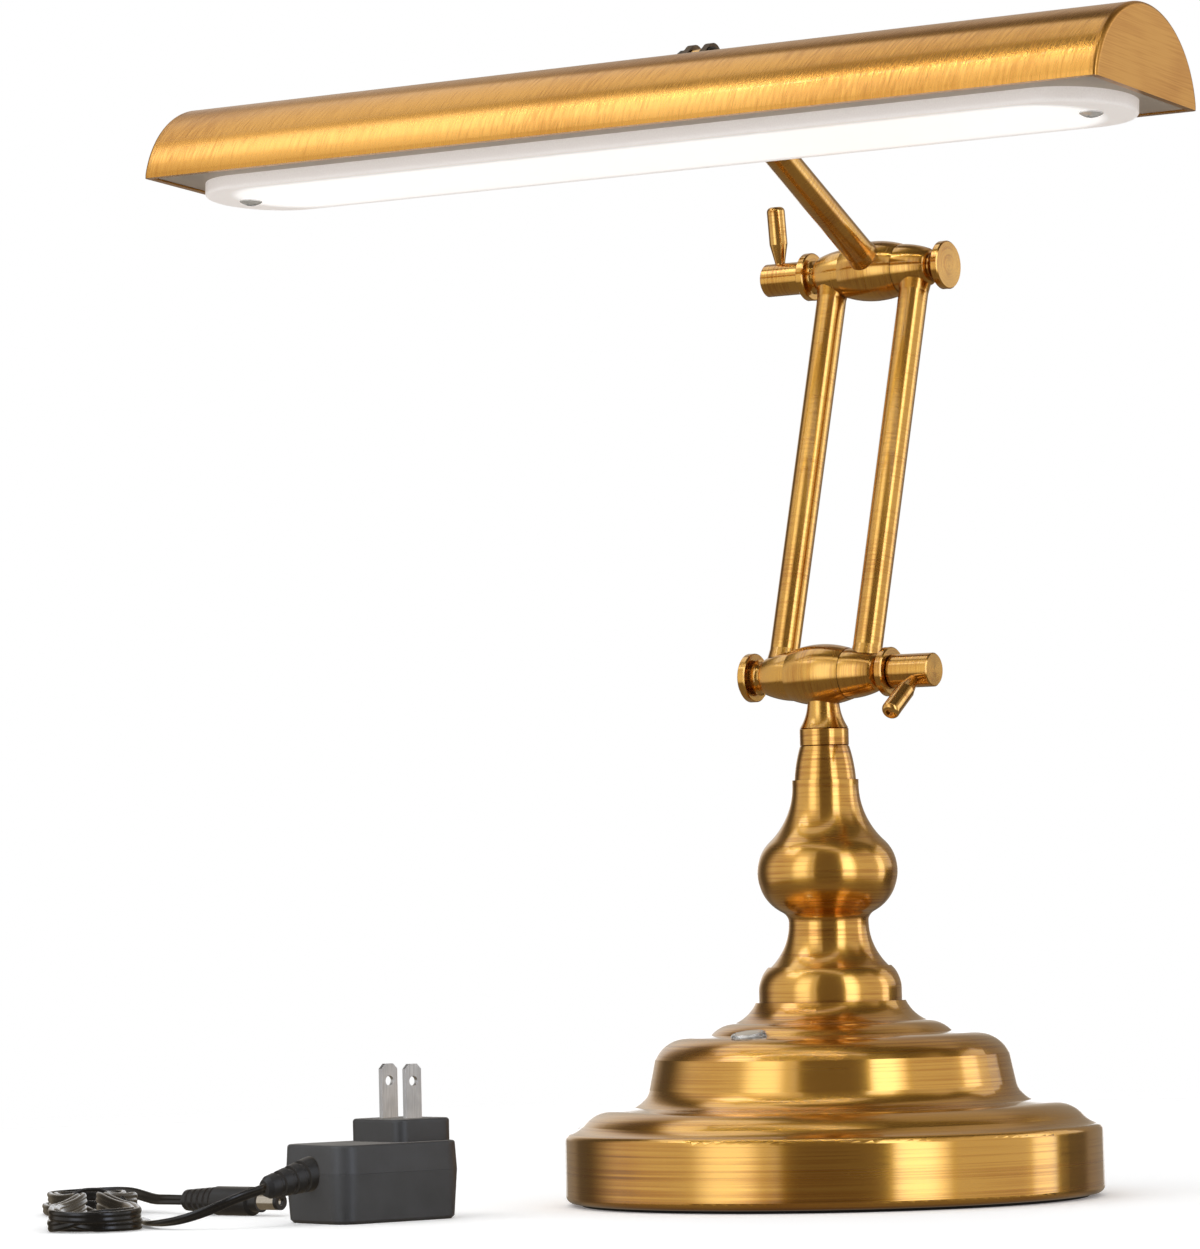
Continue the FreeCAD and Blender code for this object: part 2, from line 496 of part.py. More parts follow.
# ---------------------------------------------------------------- column
def column_collar():
    """Round-topped ring between the base and the vase."""
    wall_top = BASE_TOP + COLLAR_WALL_HEIGHT
    bulge = tangent_bulge(COLLAR_ROUND_WIDTH, COLLAR_ROUND_HEIGHT)
    return turned([(ROD_HOLE, BASE_TOP, 0), (COLLAR_RADIUS, BASE_TOP, 0), (COLLAR_RADIUS, wall_top, bulge),
                   (COLLAR_RADIUS - COLLAR_ROUND_WIDTH, VASE_BOTTOM, 0), (ROD_HOLE, VASE_BOTTOM, 0)])


def column_vase():
    """Turned vase: narrow waist, round belly and a long hollow shoulder up to the neck, bored out below."""
    foot = COLLAR_RADIUS - COLLAR_ROUND_WIDTH - VASE_STEP
    neck = RING_RADIUS + CONE_SPREAD + CONE_LEDGE
    belly = neck + BELLY_OVER_NECK
    waist = belly - BELLY_OVER_WAIST
    waist_height = VASE_BOTTOM + WAIST_RISE
    belly_height = waist_height + BELLY_RISE
    neck_height = belly_height + SHOULDER_TO_NECK
    foot_bulge = -tangent_bulge(foot - waist, WAIST_RISE)
    path = [(ROD_HOLE, VASE_BOTTOM, 0), (foot, VASE_BOTTOM, foot_bulge)]
    path += ogee((waist, waist_height), (belly, belly_height), BELLY_TURN_SHARE, -1)
    path += ogee((belly, belly_height), (neck, neck_height), NECK_TURN_SHARE, 1)
    path += [(neck, neck_height, 0), (neck, VASE_TOP, 0), (ROD_HOLE, VASE_TOP, 0)]
    return turned(path).cut(post(waist - VASE_WALL, VASE_BOTTOM, belly_height))


def column_cone():
    """Short, slightly swelling cone under the ring."""
    top = RING_RADIUS
    return turned([(ROD_HOLE, VASE_TOP, 0), (top + CONE_SPREAD, VASE_TOP, CONE_BULGE),
                   (top, RING_BOTTOM, 0), (ROD_HOLE, RING_BOTTOM, 0)])


def column_ring():
    """Plain ring under the barrel's throat."""
    return disc(RING_RADIUS, RING_BOTTOM, THROAT_BOTTOM, RING_EDGE).cut(post(ROD_HOLE, RING_BOTTOM, THROAT_BOTTOM))


def barrel_blank():
    """Barrel of a pivot about Z, not yet bored."""
    half = BARREL_HALF_LENGTH
    return turned([(0, -half, 0), (BARREL_END_RADIUS, -half, BARREL_CROWN / half), (BARREL_END_RADIUS, half, 0),
                   (0, half, 0)])


def barrel_bore():
    """Running hole of the bolt through a barrel."""
    return post(BOLT_RADIUS + BOLT_CLEARANCE, -HUB_START, HUB_START)


def lower_barrel():
    """Barrel of the lower pivot and its flared throat, tapped for the rod from below."""
    top = THROAT_BOTTOM + THROAT_HEIGHT
    wide = RING_RADIUS - RING_EDGE / 4
    bulge = -tangent_bulge(wide - THROAT_NECK_RADIUS, THROAT_HEIGHT)
    throat = turned([(0, THROAT_BOTTOM, 0), (wide, THROAT_BOTTOM, bulge), (THROAT_NECK_RADIUS, top, 0),
                     (THROAT_NECK_RADIUS, LOWER_PIVOT.z, 0), (0, LOWER_PIVOT.z, 0)])
    barrel = fused([throat, laid(barrel_blank(), LOWER_PIVOT, ALONG)])
    barrel = barrel.cut(laid(barrel_bore(), LOWER_PIVOT, ALONG))
    return barrel.cut(post(ROD_RADIUS, THROAT_BOTTOM, THROAT_BOTTOM + ROD_GRIP + ROD_CLEARANCE))


def column_pieces():
    """The turned column and the fixed half of the lower pivot."""
    return {
        "column_collar": column_collar(),
        "column_vase": column_vase(),
        "column_cone": column_cone(),
        "column_ring": column_ring(),
        "lower_barrel": lower_barrel()}


# ---------------------------------------------------------------- pivots
def hub(bore):
    """Tapering hub about Z with a waisted end, from the barrel's face outwards."""
    body_end = HUB_START + HUB_BODY_LENGTH
    neck_end = body_end + HUB_NECK_LENGTH
    return turned([(bore, HUB_START, 0), (HUB_RADIUS, HUB_START, 0.08), (HUB_RADIUS - HUB_TAPER, body_end, 0.3),
                   (HUB_NECK_RADIUS, neck_end - HUB_NECK_LENGTH / 4, 0), (HUB_NECK_RADIUS, neck_end, -0.3),
                   (HUB_LIP_RADIUS, HUB_END, 0), (bore, HUB_END, 0)])


def clamp_bolt():
    """Bolt along Z with a round disc head and a boss at its -Z end."""
    shank = post(BOLT_RADIUS, -HUB_END, NUT_END - CLAMP_NUT_WALL - ROD_CLEARANCE)
    boss_end = HUB_END + HEAD_BOSS_LENGTH
    boss = post(HEAD_BOSS_RADIUS, -boss_end, -HUB_END)
    head = disc(DISC_RADIUS, -boss_end - DISC_THICKNESS, -boss_end, DISC_EDGE)
    return fused([shank, boss, head])


def clamp_washer():
    """Round disc between the hub and the clamp nut."""
    end = HUB_END + DISC_THICKNESS
    return disc(DISC_RADIUS, HUB_END, end, DISC_EDGE).cut(post(BOLT_RADIUS + BOLT_CLEARANCE, HUB_END, end))


def clamp_lever():
    """Lever along Z: thin root, cone, round bar and a dimpled round end."""
    start = CLAMP_NUT_RADIUS - LEVER_ROOT_DEPTH
    end = CLAMP_NUT_RADIUS + LEVER_LENGTH
    cone_end = CLAMP_NUT_RADIUS + LEVER_CONE_LENGTH
    flat = LEVER_RADIUS - LEVER_EDGE
    bar = turned([(0, start, 0), (LEVER_NECK_RADIUS, start, 0), (LEVER_NECK_RADIUS, CLAMP_NUT_RADIUS, 0),
                  (LEVER_RADIUS, cone_end, 0), (LEVER_RADIUS, end - LEVER_EDGE, tangent_bulge(LEVER_EDGE, LEVER_EDGE)),
                  (flat, end, 0), (0, end, 0)])
    dimple = post(LEVER_DIMPLE_RADIUS, end - LEVER_DIMPLE_DEPTH, end + LEVER_DIMPLE_DEPTH)
    return bar.cut(dimple)


def clamp_nut():
    """Long round nut about Z, closed at its outer end."""
    nut = disc(CLAMP_NUT_RADIUS, NUT_START, NUT_END, DISC_EDGE)
    return nut.cut(post(BOLT_RADIUS + BOLT_CLEARANCE, NUT_START, NUT_END - CLAMP_NUT_WALL))


def clamp_set(name, centre, side, lever_angle):
    """Hubs, bolt, washer, nut and lever of one pivot; its lever is on the +X side (1) or the -X side (-1)."""
    axis = ALONG * side
    lever_base = centre + axis * (NUT_END - LEVER_FROM_END)
    lever = laid(clamp_lever(), lever_base, heading(lever_angle, UP, FRONT))
    bored_hub = hub(BOLT_RADIUS + BOLT_CLEARANCE)
    return {
        name + "_hub_right": laid(bored_hub, centre, ALONG),
        name + "_hub_left": laid(bored_hub, centre, -ALONG),
        name + "_bolt": laid(clamp_bolt(), centre, axis),
        name + "_clamp_washer": laid(clamp_washer(), centre, axis),
        name + "_clamp_nut": laid(clamp_nut(), centre, axis).cut(lever),
        name + "_lever": lever}


# ---------------------------------------------------------------- arms
def brazed_tube(length, seats):
    """Tube along Z with a cone of brazing at each (height, way along Z) in seats, and its bore."""
    pieces = [post(ARM_RADIUS, 0, length)]
    for height, way in seats:
        cone = Part.makeCone(ARM_RADIUS + BRAZE_WIDTH, ARM_RADIUS, BRAZE_LENGTH, UP * height, UP * way)
        pieces.append(cone)
    return fused(pieces).cut(post(ARM_RADIUS - ARM_WALL, 0, length))


def seat_height(radius):
    """Height of the lowest point where a tube through a round bar's axis leaves the bar of that radius."""
    return math.sqrt(max(radius ** 2 - ARM_RADIUS ** 2, 0))


def lower_arm(side):
    """Tube between the two hubs of one side, brazed to both."""
    start = LOWER_PIVOT + ALONG * (side * ARM_OFFSET)
    seat = seat_height(HUB_RADIUS - HUB_TAPER * (ARM_OFFSET - HUB_START) / HUB_BODY_LENGTH)
    seats = [(seat, 1), (LOWER_ARM_LENGTH - seat, -1)]
    arm = laid(brazed_tube(LOWER_ARM_LENGTH, seats), start, LOWER_ARM_DIRECTION)
    for centre in (LOWER_PIVOT, UPPER_PIVOT):
        arm = arm.cut(laid(hub(0), centre, ALONG * side))
    return arm


def tongue_start():
    """Distance from the upper pivot to the end of the upper arm's tube."""
    return UPPER_ARM_LENGTH - LOBE_RADIUS - TONGUE_BARE - TONGUE_COLLAR


def upper_arm_placed(shape):
    """A shape made along Z from the upper pivot, moved onto the upper arm."""
    return laid(shape, UPPER_PIVOT, UPPER_ARM_DIRECTION)


def shade_arm_tube():
    """Single tube from the upper barrel towards the light head."""
    seats = [(seat_height(BARREL_END_RADIUS + BARREL_CROWN), 1)]
    arm = upper_arm_placed(brazed_tube(tongue_start(), seats))
    return arm.cut(laid(barrel_blank(), UPPER_PIVOT, ALONG))


def arm_tongue():
    """Plug in the tube's end with a flat round-ended tongue that the hinge screw passes through."""
    start = tongue_start()
    plug = post(ARM_RADIUS - ARM_WALL, start - TONGUE_PLUG_LENGTH, start)
    collar = post(ARM_RADIUS, start, start + TONGUE_COLLAR)
    half = TONGUE_THICKNESS / 2
    blade = prism([(ARM_RADIUS - ARM_WALL, start, 0), (LOBE_RADIUS, UPPER_ARM_LENGTH, 1),
                   (-LOBE_RADIUS, UPPER_ARM_LENGTH, 0), (ARM_WALL - ARM_RADIUS, start, 0)],
                  on_yz, Vector(-half, 0, 0), Vector(TONGUE_THICKNESS, 0, 0))
    tongue = upper_arm_placed(fused([plug, collar, blade]))
    hole = post(HINGE_SCREW_RADIUS + HINGE_SCREW_CLEARANCE, -ARM_RADIUS, ARM_RADIUS)
    return tongue.cut(laid(hole, SHADE_HINGE, ALONG))


def arm_pieces():
    """Both clamped pivots, the twin lower arms and the upper arm."""
    pieces = {"arm_left": lower_arm(-1), "arm_right": lower_arm(1)}
    pieces.update(clamp_set("lower", LOWER_PIVOT, 1, LOWER_LEVER_ANGLE))
    pieces.update(clamp_set("upper", UPPER_PIVOT, -1, UPPER_LEVER_ANGLE))
    pieces["upper_barrel"] = laid(barrel_blank().cut(barrel_bore()), UPPER_PIVOT, ALONG)
    pieces["shade_arm_tube"] = shade_arm_tube()
    pieces["arm_tongue"] = arm_tongue()
    return pieces


# ---------------------------------------------------------------- light head
# Made with X along the head, Y backwards from the middle of its open side and Z up from that side.
def hinge_in_head():
    """The hinge's place in the light head's own frame."""
    reach = SHADE_RADIUS + HINGE_STAND_OFF
    return Vector(0, 0, SHADE_ARC_HEIGHT) + heading(HINGE_BACK_ANGLE, UP, BACK) * reach


def head_placed(shape):
    """A shape in the light head's own frame, tilted about the hinge and moved onto the arm."""
    tilt = FreeCAD.Rotation(ALONG, -SHADE_TILT)
    base = SHADE_HINGE - tilt.multVec(hinge_in_head())
    return shape.transformed(FreeCAD.Placement(base, tilt).toMatrix())


def shade_arch(inset):
    """Open path of the shade's section, inset from its outside, from the front edge over to the back."""
    half = SHADE_HALF - inset
    rise = SHADE_RISE - inset
    return [(-half, SHADE_SIDE_HEIGHT, -rise / half), (half, SHADE_SIDE_HEIGHT, 0)]


def shade_shell():
    """Rolled brass trough with a small lip turned in along both bottom edges."""
    outer, inner = SHADE_HALF, SHADE_HALF - SHADE_WALL
    lip = inner - SHADE_LIP_WIDTH
    thick = SHADE_LIP_THICKNESS
    path = [(-outer, 0, 0)] + shade_arch(0) + [(outer, 0, 0), (lip, 0, 0), (lip, thick, 0), (inner, thick, 0)]
    path += walked_back(shade_arch(SHADE_WALL))
    path += [(-inner, thick, 0), (-lip, thick, 0), (-lip, 0, 0)]
    return prism(path, on_yz, -ALONG * SHELL_HALF_LENGTH, ALONG * (2 * SHELL_HALF_LENGTH))


def end_cap():
    """Cast end cap for the +X end, with a rounded rim and a spigot inside the shell."""
    section = [(-SHADE_HALF, 0, 0)] + shade_arch(0) + [(SHADE_HALF, 0, 0)]
    cap = prism(section, on_yz, ALONG * SHELL_HALF_LENGTH, ALONG * CAP_THICKNESS)
    outer_face = max(cap.Faces, key=lambda face: face.CenterOfMass.x)
    rim = [edge for edge in outer_face.Edges if edge.BoundBox.ZMax > CAP_CLEARANCE]
    cap = cap.makeFillet(min(CAP_EDGE, 0.7 * CAP_THICKNESS), rim)
    inset = SHADE_WALL + CAP_CLEARANCE
    half = SHADE_HALF - inset
    plug = prism([(-half, 0, 0)] + shade_arch(inset) + [(half, 0, 0)], on_yz,
                 ALONG * (SHELL_HALF_LENGTH - CAP_SPIGOT), ALONG * CAP_SPIGOT)
    below = block((SHADE_LENGTH, SHADE_DEPTH, SHADE_PLATE_TOP + CAP_CLEARANCE), (0, 0), 0)
    return fused([cap, plug.cut(below)])


def screw_places():
    """Middle of each lens screw, on the plane of the shade's open side."""
    return [Vector(side * LENS_SCREW_SPAN / 2, LENS_SHIFT, 0) for side in (-1, 1)]


def screw_holes(bottom, top):
    """Clearance holes of the lens screws between two heights."""
    radius = LENS_SCREW_RADIUS + LENS_SCREW_CLEARANCE
    return Part.makeCompound([laid(post(radius, bottom, top), place, UP) for place in screw_places()])


def shade_plate():
    """Flat plate that closes the shell and carries the lights."""
    half = SHADE_HALF - SHADE_WALL - SHADE_PLATE_GAP
    length = 2 * (SHELL_HALF_LENGTH - SHADE_PLATE_GAP)
    plate = block((length, 2 * half, SHADE_PLATE_THICKNESS), (0, 0), SHADE_LIP_THICKNESS)
    return plate.cut(screw_holes(SHADE_LIP_THICKNESS, SHADE_PLATE_TOP))


def lens_slab(inset, bottom):
    """Round-ended slab from bottom up to the plate, inset from the lens's outside."""
    half, straight = LENS_WIDTH / 2 - inset, (LENS_LENGTH - LENS_WIDTH) / 2
    points = [(straight, LENS_SHIFT - half, 1), (straight, LENS_SHIFT + half, 0),
              (-straight, LENS_SHIFT + half, 1), (-straight, LENS_SHIFT - half, 0)]
    return prism(points, on_xy, UP * bottom, UP * (SHADE_LIP_THICKNESS - bottom))


def diffuser_lens():
    """Frosted tray with a soft bottom edge and a post round each screw."""
    slab = lens_slab(0, LENS_BOTTOM)
    bottom_face = min(slab.Faces, key=lambda face: face.CenterOfMass.z)
    slab = slab.makeFillet(min(LENS_EDGE, 0.7 * LENS_WALL), bottom_face.Edges)
    tray = slab.cut(lens_slab(LENS_WALL, LENS_BOTTOM + LENS_WALL))
    posts = [laid(post(LENS_BOSS_RADIUS, LENS_BOTTOM + LENS_WALL / 2, SHADE_LIP_THICKNESS), place, UP)
             for place in screw_places()]
    return fused([tray] + posts).cut(screw_holes(LENS_BOTTOM, SHADE_LIP_THICKNESS))


def lens_screws():
    """Two domed cross-head screws through the lens into the plate."""
    top = SHADE_PLATE_TOP + LENS_SCREW_REACH
    crown = LENS_BOTTOM - LENS_HEAD_HEIGHT
    rim = LENS_BOTTOM - LENS_HEAD_HEIGHT / 4
    half, drop = LENS_HEAD_RADIUS, rim - crown
    head = turned([(0, LENS_BOTTOM, 0), (0, crown, tangent_bulge(drop, half)), (half, rim, 0),
                   (half, LENS_BOTTOM, 0)])
    screw = fused([head, post(LENS_SCREW_RADIUS, LENS_BOTTOM, top)])
    slot_length = LENS_HEAD_RADIUS * 1.1
    for size in ((slot_length, SLOT_WIDTH, SLOT_DEPTH), (SLOT_WIDTH, slot_length, SLOT_DEPTH)):
        screw = screw.cut(block(size, (0, 0), crown))
    return Part.makeCompound([laid(screw, place, UP) for place in screw_places()])


def led_chips():
    """Two rows of light chips under the board."""
    top = SHADE_LIP_THICKNESS - LED_BOARD_THICKNESS
    count = int((LED_BOARD_LENGTH - CHIP_SIDE) // CHIP_PITCH) + 1
    chips = []
    for row in (-0.5, 0.5):
        for i in range(count):
            place = ((i - (count - 1) / 2) * CHIP_PITCH, LENS_SHIFT + row * CHIP_ROW_SPACING)
            chips.append(block((CHIP_SIDE, CHIP_SIDE, CHIP_HEIGHT), place, top - CHIP_HEIGHT))
    return Part.makeCompound(chips)


def hinge_bracket():
    """Saddle on the back of the shell with two round-ended lugs either side of the arm's tongue."""
    reach = SHADE_RADIUS + HINGE_STAND_OFF
    top = reach + LUG_RISE
    foot = LUG_TOP_RADIUS + LUG_SPREAD
    lug_start = TONGUE_THICKNESS / 2 + HINGE_GAP
    sheet = Part.makeCylinder(SHADE_RADIUS + SADDLE_THICKNESS, 2 * SADDLE_HALF_WIDTH,
                              -ALONG * SADDLE_HALF_WIDTH, ALONG)
    window = block((2 * SADDLE_HALF_WIDTH, 2 * SADDLE_HALF_SPAN, reach), (0, 0), 0)
    pieces = [sheet.common(window)]
    for start in (lug_start, -lug_start - LUG_THICKNESS):
        pieces.append(prism([(foot, SHADE_RADIUS / 2, 0), (foot, SHADE_RADIUS + SADDLE_THICKNESS, 0),
                             (LUG_TOP_RADIUS, top, 1), (-LUG_TOP_RADIUS, top, 0),
                             (-foot, SHADE_RADIUS + SADDLE_THICKNESS, 0), (-foot, SHADE_RADIUS / 2, 0)],
                            on_yz, ALONG * start, ALONG * LUG_THICKNESS))
    shell = Part.makeCylinder(SHADE_RADIUS, 4 * SADDLE_HALF_WIDTH, -ALONG * (2 * SADDLE_HALF_WIDTH), ALONG)
    bracket = fused(pieces).cut(shell)
    turn = FreeCAD.Rotation(ALONG, -HINGE_BACK_ANGLE)
    bracket = bracket.transformed(FreeCAD.Placement(UP * SHADE_ARC_HEIGHT, turn).toMatrix())
    hole = post(HINGE_SCREW_RADIUS + HINGE_SCREW_CLEARANCE, -LUG_OUTSIDE, LUG_OUTSIDE)
    return bracket.cut(laid(hole, hinge_in_head(), ALONG))


def hinge_hardware():
    """Screw, nut and washers of the hinge, about X at the hinge."""
    washer_end = LUG_OUTSIDE + HINGE_WASHER_THICKNESS
    nut_end = washer_end + HINGE_NUT_HEIGHT
    head_end = washer_end + HINGE_HEAD_HEIGHT
    bore = HINGE_SCREW_RADIUS + HINGE_SCREW_CLEARANCE
    rim = washer_end + HINGE_HEAD_HEIGHT / 4
    head = turned([(0, washer_end, 0), (HINGE_HEAD_RADIUS, washer_end, 0),
                   (HINGE_HEAD_RADIUS, rim, tangent_bulge(head_end - rim, HINGE_HEAD_RADIUS)), (0, head_end, 0)])
    screw = fused([head, post(HINGE_SCREW_RADIUS, -nut_end - HINGE_WASHER_THICKNESS, washer_end)])
    nut = hexagon(HINGE_NUT_FLATS, -nut_end, -washer_end).cut(post(HINGE_SCREW_RADIUS, -nut_end, -washer_end))
    washer = tube(HINGE_WASHER_RADIUS, bore, LUG_OUTSIDE, washer_end)
    washers = [washer, washer.mirror(ORIGIN, UP)]
    parts = {"hinge_screw": screw, "hinge_nut": nut, "hinge_washers": Part.makeCompound(washers)}
    return {name: laid(shape, SHADE_HINGE, ALONG) for name, shape in parts.items()}


def head_pieces():
    """Every piece of the light head and its hinge."""
    board = block((LED_BOARD_LENGTH, LED_BOARD_WIDTH, LED_BOARD_THICKNESS), (0, LENS_SHIFT),
                  SHADE_LIP_THICKNESS - LED_BOARD_THICKNESS)
    parts = {
        "shade_shell": shade_shell(),
        "shade_end_cap_right": end_cap(),
        "shade_end_cap_left": mirrored(end_cap()),
        "shade_plate": shade_plate(),
        "diffuser_lens": diffuser_lens(),
        "lens_screws": lens_screws(),
        "led_board": board,
        "led_chips": led_chips(),
        "hinge_bracket": hinge_bracket()}
    pieces = {name: head_placed(shape) for name, shape in parts.items()}
    pieces.update(hinge_hardware())
    return pieces


# ---------------------------------------------------------------- power supply
# The adapter is made with X along its long axis, the lead leaving at -X and the plug block near +X.
def adapter_placed(shape):
    """A shape in the adapter's own frame, moved to its place on the table."""
    return spun(shape, Vector(ADAPTER_CENTRE[0], ADAPTER_CENTRE[1], 0), ADAPTER_HEADING)


def adapter_half(bottom, top, bottom_inset, top_inset):
    """Moulded half with rounded corners that narrows by a little draft away from the seam."""
    wires = []
    for height, inset in ((bottom, bottom_inset), (top, top_inset)):
        corner = ADAPTER_CORNER - inset
        points = rounded_rectangle(ADAPTER_LENGTH - 2 * inset, ADAPTER_WIDTH - 2 * inset, corner)
        wire = outline(points, on_xy)
        wire.translate(UP * height)
        wires.append(wire)
    return Part.makeLoft(wires, True, True)


def edges_at_height(shape, height):
    """Edges of a shape that lie wholly at one height."""
    return [edge for edge in shape.Edges
            if abs(edge.BoundBox.ZMin - height) < 1e-4 and abs(edge.BoundBox.ZMax - height) < 1e-4]


def adapter_lower_shell():
    """Deep lower half of the adapter."""
    half = adapter_half(0, ADAPTER_SEAM_HEIGHT, 2 * ADAPTER_DRAFT, 0)
    return half.makeChamfer(ADAPTER_EDGE, edges_at_height(half, 0))


def adapter_upper_shell():
    """Shallow upper half with the raised block that carries the plug blades."""
    top = ADAPTER_SEAM_HEIGHT + ADAPTER_LID_HEIGHT
    lid = adapter_half(ADAPTER_SEAM_HEIGHT, top, 0, ADAPTER_DRAFT)
    lid = lid.makeFillet(ADAPTER_EDGE, edges_at_height(lid, top))
    wire = outline(rounded_rectangle(PLUG_BLOCK_LENGTH, PLUG_BLOCK_WIDTH, PLUG_BLOCK_CORNER), on_xy)
    raised = Part.Face(wire).extrude(UP * (PLUG_BLOCK_HEIGHT + ADAPTER_EDGE))
    raised.translate(Vector(plug_block_middle(), 0, top - ADAPTER_EDGE))
    block_top = top + PLUG_BLOCK_HEIGHT
    raised = raised.makeFillet(ADAPTER_EDGE, edges_at_height(raised, block_top))
    return fused([lid, raised])


def plug_block_middle():
    """Middle of the plug block along the adapter."""
    return ADAPTER_LENGTH / 2 - PLUG_BLOCK_INSET - PLUG_BLOCK_LENGTH / 2


def adapter_blades():
    """Two flat plug blades with cut corners and a hole near each tip."""
    bottom = ADAPTER_SEAM_HEIGHT + ADAPTER_LID_HEIGHT + PLUG_BLOCK_HEIGHT
    half, top = BLADE_WIDTH / 2, bottom + BLADE_HEIGHT
    blades = []
    for side in (-1, 1):
        middle = side * BLADE_SPACING / 2
        corner = Vector(plug_block_middle(), middle - BLADE_THICKNESS / 2, 0)
        blade = prism([(-half, bottom, 0), (half, bottom, 0), (half, top - BLADE_TIP, 0),
                       (half - BLADE_TIP, top, 0), (-half + BLADE_TIP, top, 0), (-half, top - BLADE_TIP, 0)],
                      on_xz, corner, BACK * BLADE_THICKNESS)
        hole = Part.makeCylinder(BLADE_HOLE_RADIUS, BLADE_THICKNESS, corner + UP * (bottom + BLADE_HOLE_HEIGHT), BACK)
        blades.append(blade.cut(hole))
    return Part.makeCompound(blades)


def ribbed_sleeve(length, start_radius, end_radius, ribs):
    """Tapering sleeve about Z with square ribs and grooves, plain at its start."""
    pitch = length / ribs
    slope = (end_radius - start_radius) / length
    path = [(0, 0, 0)]
    for i in range(ribs):
        low, high = i * pitch, (i + RIB_SHARE) * pitch
        path += [(start_radius + slope * low, low, 0), (start_radius + slope * high, high, 0)]
        if i < ribs - 1:
            floor = start_radius + slope * high - GROOVE_DEPTH
            path += [(floor, high, 0), (floor + slope * pitch * (1 - RIB_SHARE), (i + 1) * pitch, 0)]
    last = path[-1]
    path += [(max(last[0] - GROOVE_DEPTH, CORD_DIAMETER / 2 + 0.2), length, 0), (0, length, 0)]
    return turned(path)


def relief_start():
    """Where the strain relief leaves the adapter, in the adapter's own frame."""
    return Vector(-ADAPTER_LENGTH / 2, 0, ADAPTER_SEAM_HEIGHT)


def relief_direction():
    """Way the strain relief points, in the adapter's own frame."""
    return heading(RELIEF_DROOP, -ALONG, -UP)


def adapter_strain_relief():
    """Ribbed sleeve that guides the lead out of the adapter's end."""
    sleeve = ribbed_sleeve(RELIEF_LENGTH, RELIEF_ROOT_RADIUS, RELIEF_TIP_RADIUS, RIB_COUNT)
    root = post(RELIEF_ROOT_RADIUS, -2 * ADAPTER_DRAFT - 1, 0)
    relief = laid(fused([root, sleeve]), relief_start(), relief_direction())
    return relief.cut(adapter_lower_shell()).cut(adapter_upper_shell())


def relief_tip():
    """World point where the lead leaves the strain relief."""
    tip = relief_start() + relief_direction() * RELIEF_LENGTH
    turn = FreeCAD.Rotation(UP, ADAPTER_HEADING)
    return turn.multVec(tip) + Vector(ADAPTER_CENTRE[0], ADAPTER_CENTRE[1], 0)


def cord_tube(name, points):
    """Round tube of straight runs joined by tangent arcs, each as large as its two runs allow."""
    edges, radii, last = [], [], points[0]
    for before, corner, after in zip(points, points[1:], points[2:]):
        arriving, leaving = corner - before, after - corner
        reach = 0.45 * min(arriving.Length, leaving.Length)
        half_turn = arriving.getAngle(leaving) / 2
        radii.append(reach / math.tan(half_turn))
        arriving.normalize()
        leaving.normalize()
        start, end = corner - arriving * reach, corner + leaving * reach
        inwards = (leaving - arriving).normalize()
        middle = corner + inwards * (radii[-1] * (1 / math.cos(half_turn) - 1))
        edges.append(Part.LineSegment(last, start).toShape())
        edges.append(Part.Arc(start, middle, end).toShape())
        last = end
    edges.append(Part.LineSegment(last, points[-1]).toShape())
    path = Part.Wire(edges)
    ring = Part.Wire(Part.makeCircle(CORD_DIAMETER / 2, points[0], points[1] - points[0]))
    cord = path.makePipeShell([ring], True, False)
    print(name, "radii", [round(radius, 1) for radius in radii], "length", round(path.Length, 1),
          "volume ratio", round(cord.Volume / (path.Length * math.pi * CORD_DIAMETER ** 2 / 4), 4))
    return cord


def hank_placed(shape):
    """A shape with X along the hank towards its far end, moved to its place on the table."""
    return spun(shape, Vector(HANK_CENTRE[0], HANK_CENTRE[1], 0), HANK_HEADING)


def hank_blank():
    """Outer shape of the tied hank in its own frame: two long lobes and a narrow waist."""
    waist, half = HANK_WAIST_OFFSET, HANK_WAIST_HALF_WIDTH
    far, far_half = HANK_FAR_SIDE, HANK_FAR_HALF_WIDTH
    near, near_half = -HANK_NEAR_SIDE, HANK_NEAR_HALF_WIDTH
    points = [(waist, -half, 0), (far, -far_half, HANK_FAR_END / far_half), (far, far_half, 0), (waist, half, 0),
              (near, near_half, HANK_NEAR_END / near_half), (near, -near_half, 0)]
    solid = prism(points, on_xy, ORIGIN, UP * HANK_HEIGHT)
    return solid.makeChamfer(HANK_EDGE, edges_at_height(solid, HANK_HEIGHT))


def twist_tie():
    """Twist tie over the hank's waist with its twisted tail at one side."""
    half = HANK_WAIST_HALF_WIDTH + TIE_THICKNESS
    height = HANK_HEIGHT + TIE_THICKNESS
    band = block((TIE_WIDTH, 2 * half, height), (HANK_WAIST_OFFSET, 0), 0)
    side_edges = [edge for edge in edges_at_height(band, height) if edge.BoundBox.YLength < 1e-3]
    band = band.makeChamfer(HANK_EDGE, side_edges)
    start = Vector(HANK_WAIST_OFFSET, -half + TIE_THICKNESS / 2, height / 2)
    tail = laid(post(TIE_TAIL_RADIUS, 0, TIE_TAIL_LENGTH), start, heading(60, -BACK, ALONG))
    return fused([band, tail]).cut(hank_blank())


def connector_placed(shape):
    """A shape made along Z from the boot's thin end, moved to lie on the table."""
    place = Vector(CONNECTOR_START[0], CONNECTOR_START[1], GRIP_RADIUS)
    return laid(shape, place, heading(CONNECTOR_HEADING, ALONG, BACK))


